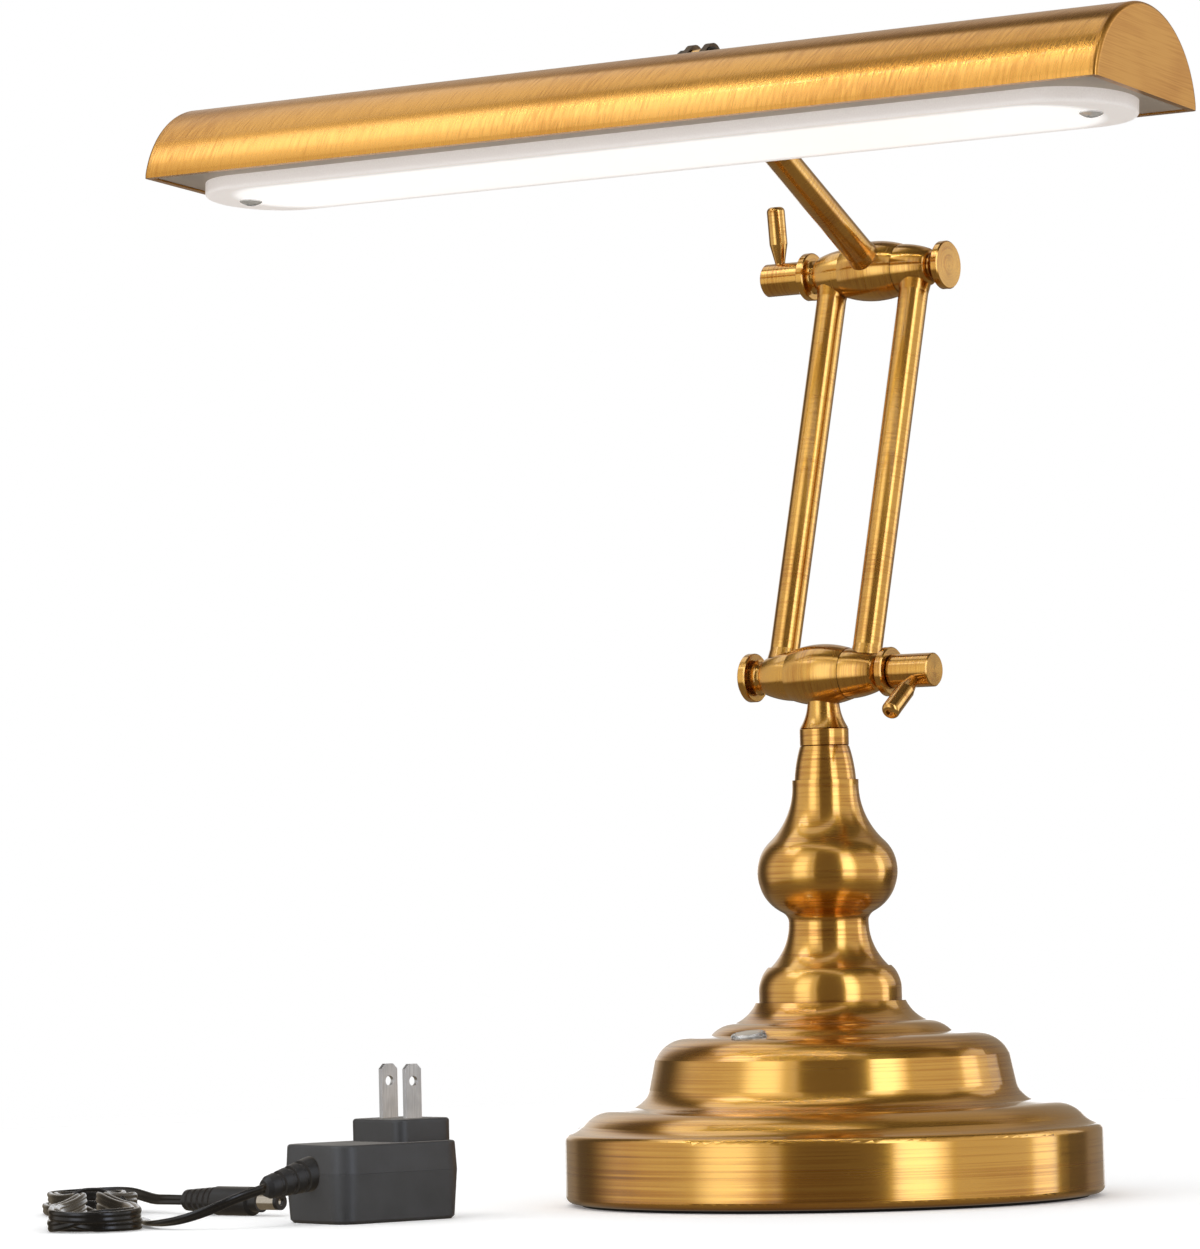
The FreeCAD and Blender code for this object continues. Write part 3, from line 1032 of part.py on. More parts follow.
def connector_pieces():
    """Boot, grip, barrel and insulating tip of the connector at the lead's end."""
    grip_end = BOOT_LENGTH + GRIP_LENGTH
    neck_end = grip_end + NECK_LENGTH
    barrel_end = neck_end + BARREL_PLUG_LENGTH
    tip_end = barrel_end + TIP_LENGTH
    boot = ribbed_sleeve(BOOT_LENGTH, BOOT_ROOT_RADIUS, BOOT_TIP_RADIUS, BOOT_RIBS).mirror(ORIGIN, UP)
    boot.translate(UP * BOOT_LENGTH)
    grip = disc(GRIP_RADIUS, BOOT_LENGTH, grip_end, GRIP_EDGE)
    parts = {
        "connector_boot": boot,
        "connector_grip": fused([grip, post(NECK_RADIUS, grip_end, neck_end)]),
        "connector_barrel": tube(BARREL_PLUG_RADIUS, TIP_BORE_RADIUS, neck_end, barrel_end),
        "connector_tip": tube(BARREL_PLUG_RADIUS, TIP_BORE_RADIUS, barrel_end, tip_end)}
    return {name: connector_placed(shape) for name, shape in parts.items()}


def supply_pieces():
    """The adapter, its lead, the hank and the connector."""
    start = relief_tip()
    end = Vector(CONNECTOR_START[0], CONNECTOR_START[1], GRIP_RADIUS)
    pieces = {
        "adapter_lower_shell": adapter_placed(adapter_lower_shell()),
        "adapter_upper_shell": adapter_placed(adapter_upper_shell()),
        "adapter_blades": adapter_placed(adapter_blades()),
        "adapter_strain_relief": adapter_placed(adapter_strain_relief()),
        "cord_adapter_lead": cord_tube("adapter lead", [start] + [Vector(*p) for p in ADAPTER_LEAD_ROUTE]),
        "cord_connector_lead": cord_tube("connector lead", [Vector(*p) for p in CONNECTOR_LEAD_ROUTE] + [end]),
        "cord_hank": hank_placed(hank_blank()),
        "twist_tie": hank_placed(twist_tie())}
    pieces.update(connector_pieces())
    return pieces


def main():
    """Build every piece and write one STEP file for each."""
    os.makedirs("parts", exist_ok=True)
    pieces = {}
    for group in (base_pieces(), column_pieces(), arm_pieces(), head_pieces(), supply_pieces()):
        pieces.update(group)
    for name, shape in sorted(pieces.items()):
        shape.exportStep(os.path.join("parts", name + ".step"))
        print(name, "valid" if shape.isValid() else "NOT VALID", len(shape.Solids), round(shape.Volume, 1))
    print(len(pieces), "nodes; lower pivot", LOWER_PIVOT, "upper pivot", UPPER_PIVOT, "hinge", SHADE_HINGE)


main()
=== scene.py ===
"""Looks of a piano lamp: brushed brass base, column, arms and light head, and its plug-in power lead.

Everything is in metres, +Z up, with the origin at the centre of the base's underside and the lamp facing -Y.
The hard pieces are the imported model's own and get their finish here. The flat twin lead with its hank and its
wire tie are surfaces worked out below.
"""

import json
import logging
import math
from collections.abc import Callable
from dataclasses import dataclass
from enum import Enum
from functools import partial

import bpy
import numpy as np
from mathutils import Matrix, Vector


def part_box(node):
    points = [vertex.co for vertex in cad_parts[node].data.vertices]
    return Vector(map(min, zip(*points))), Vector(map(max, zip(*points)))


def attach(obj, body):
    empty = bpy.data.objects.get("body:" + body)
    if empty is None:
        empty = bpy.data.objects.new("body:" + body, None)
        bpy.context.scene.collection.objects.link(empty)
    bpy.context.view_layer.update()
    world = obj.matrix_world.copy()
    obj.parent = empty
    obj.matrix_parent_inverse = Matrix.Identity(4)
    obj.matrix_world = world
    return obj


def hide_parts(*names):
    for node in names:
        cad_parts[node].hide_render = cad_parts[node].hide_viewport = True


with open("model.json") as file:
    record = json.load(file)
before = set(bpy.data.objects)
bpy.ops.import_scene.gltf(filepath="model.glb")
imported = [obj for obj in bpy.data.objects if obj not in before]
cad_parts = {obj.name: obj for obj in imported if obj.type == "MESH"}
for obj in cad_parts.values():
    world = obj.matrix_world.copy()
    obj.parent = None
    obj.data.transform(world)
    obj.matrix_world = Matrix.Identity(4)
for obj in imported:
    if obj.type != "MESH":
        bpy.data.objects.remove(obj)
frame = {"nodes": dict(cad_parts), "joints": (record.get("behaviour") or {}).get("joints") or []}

LOG = logging.getLogger("piano_lamp")
MM = 0.001
UNMIRRORED = ("adapter_", "connector_")  # starts of the names of what the brass does not mirror
UP = (0.0, 0.0, 1.0)
Floats = np.ndarray
Point = tuple[float, float, float]
Pair = tuple[float, float]
Node = bpy.types.Node
Socket = bpy.types.NodeSocket
Adder = Callable[..., Node]  # add_node with its tree given


# ---- colour and nodes
def srgb(code: str) -> tuple[float, float, float, float]:
    """Linear colour of an sRGB hex code.

    Each channel c becomes c / 12.92 below 0.04045, and ((c + 0.055) / 1.055) to the power 2.4 above.

    Args:
        code: six hex digits after a hash.

    Returns:
        Linear red, green and blue, and 1.
    """
    channels = [int(code[i:i + 2], 16) / 255 for i in (1, 3, 5)]
    linear = [c / 12.92 if c <= 0.04045 else ((c + 0.055) / 1.055) ** 2.4 for c in channels]
    return linear[0], linear[1], linear[2], 1.0


def add_node(tree: bpy.types.NodeTree, kind: str, inputs: dict | None = None,
             stops: tuple[tuple[float, str], ...] = (), **settings) -> Node:
    """Adds one node with its settings and links.

    Args:
        tree: the node tree it goes into.
        kind: the node's type name after ShaderNode.
        inputs: values, sockets or nodes by input name or number; a node stands for its first output.
        stops: places and hex colours of a colour ramp, in order.
        settings: the node's own properties.

    Returns:
        The new node.
    """
    node = tree.nodes.new("ShaderNode" + kind)
    for name, value in settings.items():
        setattr(node, name, value)
    for key, value in (inputs or {}).items():
        if isinstance(value, Node):
            value = value.outputs[0]
        if isinstance(value, Socket):
            tree.links.new(value, node.inputs[key])
        else:
            node.inputs[key].default_value = value
    if stops:
        elements = node.color_ramp.elements
        while len(elements) < len(stops):
            elements.new(0.5)
        for element, (place, code) in zip(elements, stops):
            element.position = place
            element.color = srgb(code)
    return node


# ---- finishes
class Grain(Enum):
    """How a brass piece was brushed."""

    TURNED = "lines run round the piece's axis, as on a lathe"
    STROKED = "short strokes run along the piece's first direction, as from a belt"


@dataclass(frozen=True)
class WorkAxis:
    """A piece's own axis: a point on it in metres, and the directions of its axis and its strokes."""

    point: Point = (0.0, 0.0, 0.0)
    axis: Point = UP
    stroke: Point = (1.0, 0.0, 0.0)

    def directions(self) -> tuple[Vector, Vector, Vector]:
        """The stroke made square to the axis, the direction across both, and the axis."""
        z = Vector(self.axis).normalized()
        x = Vector(self.stroke)
        x = (x - z * x.dot(z)).normalized()
        return x, z.cross(x), z

    def rotation(self) -> Point:
        """Euler angles that turn the world's X and Z onto the stroke and the axis."""
        return tuple(Matrix(self.directions()).transposed().to_euler())


@dataclass(frozen=True)
class Finish:
    """A material with a name; each kind of finish gives its own surface."""

    name: str

    def surface(self, add: Adder, spot: Socket) -> Node:
        """The surface's shader, from what adds a node to its tree and the place on the piece."""
        raise NotImplementedError

    def build(self) -> bpy.types.Material:
        """The finished material."""
        material = bpy.data.materials.new(self.name)
        material.use_nodes = True
        material.node_tree.nodes.clear()
        add = partial(add_node, material.node_tree)
        spot = add("TexCoord").outputs["Object"]
        add("OutputMaterial", {"Surface": self.surface(add, spot)})
        return material


@dataclass(frozen=True)
class AntiqueBrass(Finish):
    """Brass plate, toned brown, then brushed back to gold and lacquered.

    To the eye: warm gold lit in bands, fine lines across each highlight, brown patina left in the hollows,
    painted shade in the same brown between the pieces, and a thin clear gloss over it all.
    """

    place: WorkAxis
    grain: Grain = Grain.TURNED
    gold: str = "#DEA94A"
    honey: str = "#C78B31"
    brown: str = "#82501B"
    tones: Point = (0.42, 0.62, 0.78)  # where the tone is all brown, all honey and all gold
    line_mm: float = 0.55  # between brush lines, which are really 0.1 and would not show
    streak_mm: float = 22.0  # length of a stroke
    waves: float = 0.6  # changes of a turned line per radian round
    slant: float = 0.0  # how far turned lines lean, as a slope
    contrast: float = 0.5  # depth of the toning between the lines
    bite: float = 0.07  # strength of the lines themselves
    line_depth_mm: float = 0.03
    blotch_mm: float = 30.0  # size of the tone's slow drift
    drift: float = 0.5  # strength of that drift
    roughness: float = 0.22
    lacquer: float = 1.0
    gloss: float = 0.05  # roughness of the lacquer
    stretch: float = 0.72  # how far the brushing spreads a highlight
    patina_and_shade_mm: float = 1.5  # reach of the brown patina into corners and of the brown painted shade between pieces
    openness: Pair = (0.25, 0.8)  # open share of the view, from a brown corner or painted-shade joint to an open face

    def pattern(self, add: Adder, local: Node) -> tuple[Node, Node]:
        """Brush lines and slow drift.

        Turned pieces read (x, y) / radius, height plus slant times y, and radius, so a line keeps its height
        and radius. Stroked ones read the place itself, drawn out along the stroke.

        Args:
            add: adds a node to the material's tree.
            local: place in the piece's own frame.

        Returns:
            The lines' and the drift's grey values.
        """
        fine, slow = 1 / (self.line_mm * MM), 1 / (self.streak_mm * MM)
        if self.grain is Grain.TURNED:
            flat = add("VectorMath", {0: local, 1: (1, 1, 0)}, operation="MULTIPLY")
            radius = add("VectorMath", {0: flat}, operation="LENGTH").outputs["Value"]
            round_way = add("VectorMath", {0: flat}, operation="NORMALIZE")
            height = add("VectorMath", {0: local, 1: (0, self.slant * fine, fine)}, operation="DOT_PRODUCT")
            spot = add("CombineXYZ", {"Z": height.outputs["Value"]})
            spot = add("VectorMath", {0: round_way, 1: (self.waves, self.waves, 0), 2: spot},
                       operation="MULTIPLY_ADD")
            depth = add("Math", {0: radius, 1: fine}, operation="MULTIPLY")
            place, dimensions = {"Vector": spot, "W": depth}, "4D"
        else:
            spot = add("VectorMath", {0: local, 1: (slow, fine, fine)}, operation="MULTIPLY")
            place, dimensions = {"Vector": spot}, "3D"
        lines = add("TexNoise", {**place, "Scale": 1.0}, noise_dimensions=dimensions)
        drift = add("TexNoise", {"Vector": local, "Scale": 1 / (self.blotch_mm * MM)})
        return lines, drift

    def tangent(self, add: Adder, spot: Socket) -> Node:
        """Direction of the brush lines in the world: axis times place for turned pieces, the stroke else."""
        stroke, _, axis = self.place.directions()
        if self.grain is Grain.TURNED:
            arm = add("VectorMath", {0: spot, 1: self.place.point}, operation="SUBTRACT")
            way = add("VectorMath", {0: tuple(axis), 1: arm}, operation="CROSS_PRODUCT")
        else:
            way = add("CombineXYZ", dict(zip("XYZ", stroke)))
        return add("VectorTransform", {"Vector": way}, vector_type="VECTOR",
                   convert_from="OBJECT", convert_to="WORLD")

    def surface(self, add: Adder, spot: Socket) -> Node:
        """Tone is 0.5 plus contrast times (lines - 0.5), plus the drift; recesses go back to brown patina, and
        where pieces meet the same brown is painted shade.
        """
        local = add("Mapping", {"Vector": spot, "Location": self.place.point,
                                "Rotation": self.place.rotation()}, vector_type="TEXTURE")
        lines, drift = self.pattern(add, local)
        tone = add("Math", {0: lines, 1: self.contrast, 2: 0.5 - 0.5 * self.contrast},
                   operation="MULTIPLY_ADD")
        tone = add("Math", {0: drift, 1: self.drift, 2: tone}, operation="MULTIPLY_ADD")
        colour = add("ValToRGB", {"Fac": tone}, tuple(zip(self.tones, (self.brown, self.honey, self.gold))))
        # brown by occlusion: real patina in a piece's own recesses, painted shade where neighbouring pieces
        # meet
        occlusion = add("AmbientOcclusion", {"Distance": self.patina_and_shade_mm * MM}, samples=4)
        free_of_patina_and_shade = add("MapRange", {"Value": occlusion.outputs["AO"], "From Min": self.openness[0],
                                 "From Max": self.openness[1]})
        toned = add("Mix", {0: free_of_patina_and_shade, 6: srgb(self.brown), 7: colour}, data_type="RGBA")
        rough = add("MapRange", {"Value": lines, "From Min": 0.3, "From Max": 0.7,
                                 "To Min": self.roughness + 0.06, "To Max": self.roughness - 0.04})
        bump = add("Bump", {"Height": lines, "Strength": self.bite, "Distance": self.line_depth_mm * MM})
        return add("BsdfPrincipled",
                   {"Base Color": toned.outputs[2], "Metallic": 1.0, "Roughness": rough, "Normal": bump,
                    "Tangent": self.tangent(add, spot), "Anisotropic": self.stretch,
                    "Anisotropic Rotation": 0.25, "Coat Weight": self.lacquer,
                    "Coat Roughness": self.gloss})


@dataclass(frozen=True)
class BareMetal(Finish):
    """Plated or cast metal with a fine tooth: zinc or nickel plate, chrome, or grey iron.

    To the eye: a neutral grey that mirrors softly, with faint clouding from handling.
    """

    tone: str
    shade: str
    roughness: float
    tooth_mm: float = 0.4
    bite: float = 0.1
    drawn: Point = (1.0, 1.0, 1.0)  # stretches the tooth into drawn lines
    bare: float = 1.0  # less than 1 under a dull passivated film
    tooth_depth_mm: float = 0.05
    cloud_mm: float = 9.0  # size of its clouds
    edge_mm: float = 0.15  # radius of the edges

    def surface(self, add: Adder, spot: Socket) -> Node:
        """Colour follows tooth times cloud, and roughness the cloud."""
        scaled = add("VectorMath", {0: spot, 1: self.drawn}, operation="MULTIPLY")
        tooth = add("TexNoise", {"Vector": scaled, "Scale": 1 / (self.tooth_mm * MM)})
        cloud = add("TexNoise", {"Vector": spot, "Scale": 1 / (self.cloud_mm * MM)})
        mixed = add("Math", {0: tooth, 1: cloud}, operation="MULTIPLY")
        colour = add("ValToRGB", {"Fac": mixed}, ((0.1, self.shade), (0.4, self.tone)))
        rough = add("MapRange", {"Value": cloud, "To Min": max(self.roughness - 0.07, 0.02),
                                 "To Max": self.roughness + 0.09})
        edges = add("Bevel", {"Radius": self.edge_mm * MM}, samples=4)
        bump = add("Bump", {"Height": tooth, "Strength": self.bite,
                            "Distance": self.tooth_depth_mm * MM, "Normal": edges})
        return add("BsdfPrincipled", {"Base Color": colour, "Metallic": self.bare,
                                      "Roughness": rough, "Normal": bump})


@dataclass(frozen=True)
class MouldedPlastic(Finish):
    """ABS, PVC or rubber from a mould, with the mould's fine spark-eroded grain.

    To the eye: an even dark or pale body, a broad soft sheen, and a pebble just fine enough to feel.
    """

    tone: str
    shade: str
    roughness: float
    grain_mm: float = 0.35  # real moulds are near 0.1; this shows in a render
    bite: float = 0.25
    ior: float = 1.5
    clear: float = 0.0
    grain_depth_mm: float = 0.04
    cloud_mm: float = 12.0  # size of its clouds
    edge_mm: float = 0.3  # radius of the edges

    def surface(self, add: Adder, spot: Socket) -> Node:
        """Colour and roughness follow the cloud, and the bump the grain's cells."""
        grain = add("TexVoronoi", {"Vector": spot, "Scale": 1 / (self.grain_mm * MM)}, feature="SMOOTH_F1")
        cloud = add("TexNoise", {"Vector": spot, "Scale": 1 / (self.cloud_mm * MM), "Detail": 3.0})
        colour = add("ValToRGB", {"Fac": cloud}, ((0.3, self.shade), (0.7, self.tone)))
        rough = add("MapRange", {"Value": cloud, "From Min": 0.3, "From Max": 0.7,
                                 "To Min": self.roughness - 0.04, "To Max": self.roughness + 0.06})
        edges = add("Bevel", {"Radius": self.edge_mm * MM}, samples=4)
        bump = add("Bump", {"Height": grain, "Strength": self.bite,
                            "Distance": self.grain_depth_mm * MM, "Normal": edges})
        return add("BsdfPrincipled", {"Base Color": colour, "Roughness": rough, "IOR": self.ior,
                                      "Transmission Weight": self.clear, "Normal": bump})


@dataclass(frozen=True)
class FrostedDiffuser(Finish):
    """Opal acrylic tray over the light board, lit from inside.

    To the eye: even white light over the board, falling off to a greyer rim past its edges.
    """

    middle: Point
    tilt: float
    lit_half_length: float = 0.160
    lit_half_width: float = 0.0168
    fall_off: float = 0.005
    brightness: float = 0.6
    haze_mm: float = 0.5  # size of the frosting's cells

    def surface(self, add: Adder, spot: Socket) -> Node:
        """Milky body that glows where it is lit.

        The lit mask is 1 inside a round-ended slot and falls to 0 outside it: the distance is the length of
        (|x| - straight half, y) below the slot's half width.
        """
        local = add("Mapping", {"Vector": spot, "Location": self.middle,
                                "Rotation": (self.tilt, 0, 0)}, vector_type="TEXTURE")
        size = add("VectorMath", {0: local}, operation="ABSOLUTE")
        straight = self.lit_half_length - self.lit_half_width
        past = add("VectorMath", {0: size, 1: (straight, 0, 0)}, operation="SUBTRACT")
        past = add("VectorMath", {0: past, 1: (0, 0, 0)}, operation="MAXIMUM")
        flat = add("VectorMath", {0: past, 1: (1, 1, 0)}, operation="MULTIPLY")
        reach = add("VectorMath", {0: flat}, operation="LENGTH")
        lit = add("MapRange",
                  {"Value": reach.outputs["Value"], "From Min": self.lit_half_width,
                   "From Max": self.lit_half_width + self.fall_off, "To Min": 1.0, "To Max": 0.0},
                  interpolation_type="SMOOTHSTEP")
        haze = add("TexNoise", {"Vector": spot, "Scale": 1 / (self.haze_mm * MM)})
        colour = add("ValToRGB", {"Fac": haze}, ((0.3, "#D3CFCD"), (0.7, "#DBD8D5")))
        glow = add("ValToRGB", {"Fac": lit}, ((0.0, "#B0A69E"), (1.0, "#FFFDFA")))
        bump = add("Bump", {"Height": haze, "Strength": 0.1, "Distance": 0.03 * MM})
        return add("BsdfPrincipled",
                   {"Base Color": colour, "Roughness": 0.35, "IOR": 1.49, "Normal": bump,
                    "Emission Color": glow, "Emission Strength": self.brightness,
                    "Subsurface Weight": 0.15, "Subsurface Radius": (0.002, 0.002, 0.002)})


# ---- surfaces
def grid_mesh(name: str, points: Floats, capped: bool = True) -> bpy.types.Mesh:
    """Mesh of a grid of points that closes on itself round, with quads between neighbours.

    Args:
        name: the mesh's name.
        points: array of (along, round, 3) places.
        capped: puts one flat face over each end.

    Returns:
        The mesh, its faces outward when the rows run along and the columns turn left about them.
    """
    rows, columns = points.shape[:2]
    index = np.arange(rows * columns).reshape(rows, columns)
    index = np.concatenate([index, index[:, :1]], axis=1)
    quads = np.stack([index[:-1, :-1], index[:-1, 1:], index[1:, 1:], index[1:, :-1]], axis=-1)
    faces = quads.reshape(-1, 4).tolist()
    if capped:
        faces += [index[0, -2::-1].tolist(), index[-1, :-1].tolist()]
    mesh = bpy.data.meshes.new(name)
    mesh.from_pydata(points.reshape(-1, 3).tolist(), [], faces)
    mesh.polygons.foreach_set("use_smooth", np.ones(len(faces), bool))
    mesh.validate()
    return mesh


def carried_frames(path: Floats, up: Point) -> tuple[Floats, Floats, Floats]:
    """Directions along a path: the tangent, the sideways and the upright ones at each point.

    Sideways is up times tangent, and upright is tangent times sideways, each made one long.

    Args:
        path: array of (count, 3) places.
        up: a direction that the path never runs along.

    Returns:
        Tangents, sideways and upright directions, each (count, 3).
    """
    tangent = np.gradient(path, axis=0)
    tangent /= np.linalg.norm(tangent, axis=1, keepdims=True)
    side = np.cross(up, tangent)
    side /= np.linalg.norm(side, axis=1, keepdims=True)
    return tangent, side, np.cross(tangent, side)


def round_tube(path: Floats, up: Point, radius: float, sides: int = 12) -> Floats:
    """Grid of a round tube: each place on the path plus radius times (cosine sideways + sine upright).

    Args:
        path: array of (count, 3) places.
        up: a direction that the path never runs along.
        radius: the tube's radius in metres.
        sides: points round the tube.

    Returns:
        Array of (count, sides, 3) places.
    """
    _, side, upright = carried_frames(path, up)
    angle = np.linspace(0, 2 * np.pi, sides, endpoint=False)[None, :, None]
    return path[:, None] + (np.cos(angle) * side[:, None] + np.sin(angle) * upright[:, None]) * radius


def smoothstep(value: Floats) -> Floats:
    """3 t squared minus 2 t cubed, for t kept between 0 and 1."""
    t = np.clip(value, 0.0, 1.0)
    return t * t * (3 - 2 * t)


def signed_power(value: Floats, power: float) -> Floats:
    """The value's size raised to a power, with the value's sign."""
    return np.sign(value) * np.abs(value) ** power


def add_object(name: str, data: bpy.types.ID) -> bpy.types.Object:
    """A new object in the scene."""
    thing = bpy.data.objects.new(name, data)
    bpy.context.scene.collection.objects.link(thing)
    return thing


def route_curve(points: list[Point]) -> Floats:
    """Points read from a smooth curve that has the route's points as its control points.

    Args:
        points: control points in metres.

    Returns:
        Array of (count, 3) places along the curve.
    """
    curve = bpy.data.curves.new("route", "CURVE")
    curve.dimensions = "3D"
    curve.resolution_u = 10
    spline = curve.splines.new("NURBS")
    spline.points.add(len(points) - 1)
    spline.points.foreach_set("co", np.column_stack([np.array(points), np.ones(len(points))]).ravel())
    spline.order_u = 3
    spline.use_endpoint_u = True
    holder = add_object("route", curve)
    bpy.context.view_layer.update()
    mesh = bpy.data.meshes.new_from_object(holder.evaluated_get(bpy.context.evaluated_depsgraph_get()))
    line = np.empty(len(mesh.vertices) * 3)
    mesh.vertices.foreach_get("co", line)
    bpy.data.objects.remove(holder)
    bpy.data.curves.remove(curve)
    bpy.data.meshes.remove(mesh)
    line = line.reshape(-1, 3)
    apart = np.linalg.norm(np.diff(line, axis=0), axis=1) > MM / 1000
    return line[np.concatenate([[True], apart])]


def add_piece(name: str, points: Floats, finish: Finish, unseen: tuple[str, ...] = ("glossy",),
              capped: bool = True) -> bpy.types.Object:
    """Adds a piece made of a grid of points to the scene.

    Args:
        name: the piece's name.
        points: its grid of places.
        finish: its finish.
        unseen: kinds of ray that pass it by; the brass mirrors nothing that glossy ones pass.
        capped: puts one flat face over each end.

    Returns:
        The new object.
    """
    mesh = grid_mesh(name, points, capped)
    mesh.materials.append(finish.build())
    piece = add_object(name, mesh)
    for kind in unseen:
        setattr(piece, "visible_" + kind, False)
    return piece


def dress(finish: Finish, *nodes: str) -> None:
    """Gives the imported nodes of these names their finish."""
    material = finish.build()
    for node in nodes:
        piece = frame["nodes"][node]
        if not piece.material_slots:
            piece.data.materials.append(material)
        for slot in piece.material_slots:
            slot.material = material
        piece.visible_glossy = not node.startswith(UNMIRRORED)
        LOG.info("dressed %s in %s", node, material.name)


# ---- lamp
JOINTS = {joint["name"]: Vector(joint["pos_m"]) for joint in frame["joints"]}
LOWER_PIVOT = JOINTS["lower_pivot"]
UPPER_PIVOT = JOINTS["upper_pivot"]
SHADE_HINGE = JOINTS["shade_tilt"]


@dataclass
class WeightedBase:
    """Spun base with its weight, touch sensor, board and supply socket."""

    shell: AntiqueBrass = AntiqueBrass("brass_spun_base", WorkAxis(), line_mm=0.7, contrast=0.7,
                                       blotch_mm=45.0, patina_and_shade_mm=3.0)

    def build(self) -> None:
        """Dresses every piece of the base."""
        dress(self.shell, "base_shell")
        dress(MouldedPlastic("rubber_foot", "#1C1B1A", "#121211", 0.8, 0.8, 0.5), "foot_pad")
        dress(MouldedPlastic("black_enamel_plate", "#1B1B1C", "#101011", 0.42), "base_bottom_plate")
        dress(BareMetal("sand_cast_iron", "#4A4744", "#2B2826", 0.62, 0.9, 0.8), "base_weight")
        dress(BareMetal("zinc_plated_steel", "#A9A8A2", "#85847E", 0.34),
              "threaded_rod", "rod_nut", "rod_washer", "rod_spacer", "dc_jack_nut")
        dress(MouldedPlastic("clear_acrylic_ring", "#F6F6F4", "#E9E9E7", 0.06, bite=0.0, ior=1.49,
                             clear=0.8), "touch_sensor_ring")
        dress(BareMetal("polished_chrome_button", "#F2F1EE", "#DAD9D6", 0.12), "touch_sensor_button")
        dress(MouldedPlastic("green_circuit_board", "#1F6B3A", "#18552E", 0.4), "touch_dimmer_board")
        dress(MouldedPlastic("black_nylon_socket", "#1D1D1E", "#141415", 0.4), "dc_jack")


@dataclass
class TurnedColumn:
    """Collar, vase, cone and ring."""

    turned: AntiqueBrass = AntiqueBrass("brass_turned_column", WorkAxis(), line_mm=0.7, contrast=0.8,
                                        blotch_mm=22.0, patina_and_shade_mm=3.0)

    def build(self) -> None:
        """Dresses the column's pieces."""
        dress(self.turned, "column_collar", "column_vase", "column_cone", "column_ring")


@dataclass
class ClampedPivot:
    """Hubs, barrel, bolt, washer, nut and lever that share one pivot axis along X."""

    name: str
    centre: Vector
    lever_angle: float  # degrees from +Z towards -Y
    turned_parts: tuple[str, ...] = ("barrel", "hub_left", "hub_right", "bolt", "clamp_washer", "clamp_nut")

    def build(self) -> None:
        """Dresses the pivot: everything but the lever is turned about X."""
        about_x = WorkAxis(tuple(self.centre), (1, 0, 0), UP)
        dress(AntiqueBrass(f"brass_{self.name}_pivot", about_x, contrast=0.6, blotch_mm=14.0,
                           patina_and_shade_mm=2.2),
              *(f"{self.name}_{part}" for part in self.turned_parts))
        lever, turn = f"{self.name}_lever", math.radians(self.lever_angle)
        low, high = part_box(lever)
        about_lever = WorkAxis(tuple((low + high) / 2), (0.0, -math.sin(turn), math.cos(turn)))
        dress(AntiqueBrass("brass_" + lever, about_lever, blotch_mm=9.0, roughness=0.16,
                           gold="#E2B058"), lever)


@dataclass
class Arms:
    """Twin lower arms and the single upper arm with its tongue."""

    tubes: tuple[str, ...] = ("arm_left", "arm_right")

    def brushed(self, name: str, start: Point, along: Vector) -> AntiqueBrass:
        """Finish of a tube brushed round its own axis, which runs from a start along a direction."""
        return AntiqueBrass(name, WorkAxis(start, tuple(along)), contrast=0.45, blotch_mm=26.0,
                            patina_and_shade_mm=2.0)

    def build(self) -> None:
        """Dresses the tubes, brushed round their own axes."""
        for node in self.tubes:
            low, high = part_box(node)
            start = ((low.x + high.x) / 2, LOWER_PIVOT.y, LOWER_PIVOT.z)
            dress(self.brushed("brass_" + node, start, UPPER_PIVOT - LOWER_PIVOT), node)
        dress(self.brushed("brass_upper_arm", tuple(UPPER_PIVOT), SHADE_HINGE - UPPER_PIVOT),
              "shade_arm_tube", "arm_tongue")


@dataclass
class LightHead:
    """Rolled trough, end caps, plate, lit diffuser and the hinge at the back."""

    tilt: float = -math.radians(4.5)

    def build(self) -> None:
        """Dresses the head's pieces, whose own middle is the lens's."""
        low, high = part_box("diffuser_lens")
        middle = tuple((low + high) / 2)
        across = (0.0, math.cos(self.tilt), math.sin(self.tilt))
        square = (0.0, -math.sin(self.tilt), math.cos(self.tilt))
        dress(AntiqueBrass("brass_rolled_trough", WorkAxis(middle, (1, 0, 0), square), gold="#DCA24C",
                           honey="#CA8E3E", brown="#916028", line_mm=0.6, waves=2.5, slant=0.35,
                           blotch_mm=60.0, roughness=0.25, lacquer=0.2, stretch=0.6), "shade_shell")
        dress(AntiqueBrass("brass_end_cap", WorkAxis(middle, (1, 0, 0), across), Grain.STROKED,
                           gold="#D39B49", honey="#C2873A", brown="#8E5D28", line_mm=0.5,
                           contrast=0.4, roughness=0.32, lacquer=0.25, stretch=0.6),
              "shade_end_cap_left", "shade_end_cap_right")
        dress(BareMetal("bronzed_steel_bracket", "#6E5A40", "#46382A", 0.34), "hinge_bracket")
        dress(BareMetal("anodised_aluminium_plate", "#B9AC9D", "#A89B8D", 0.5, bare=0.5), "shade_plate")
        dress(FrostedDiffuser("opal_acrylic_lit", middle, self.tilt), "diffuser_lens")
        dress(BareMetal("chromed_screw", "#ECECEA", "#D2D2D0", 0.2, bare=0.6), "lens_screws")
        dress(BareMetal("blackened_screw", "#4A443C", "#2C2824", 0.35),
              "hinge_screw", "hinge_nut", "hinge_washers")
        dress(MouldedPlastic("white_solder_mask", "#F1F0EA", "#E4E2DA", 0.4), "led_board")
        dress(MouldedPlastic("yellow_phosphor", "#F5D368", "#E8C04A", 0.25), "led_chips")


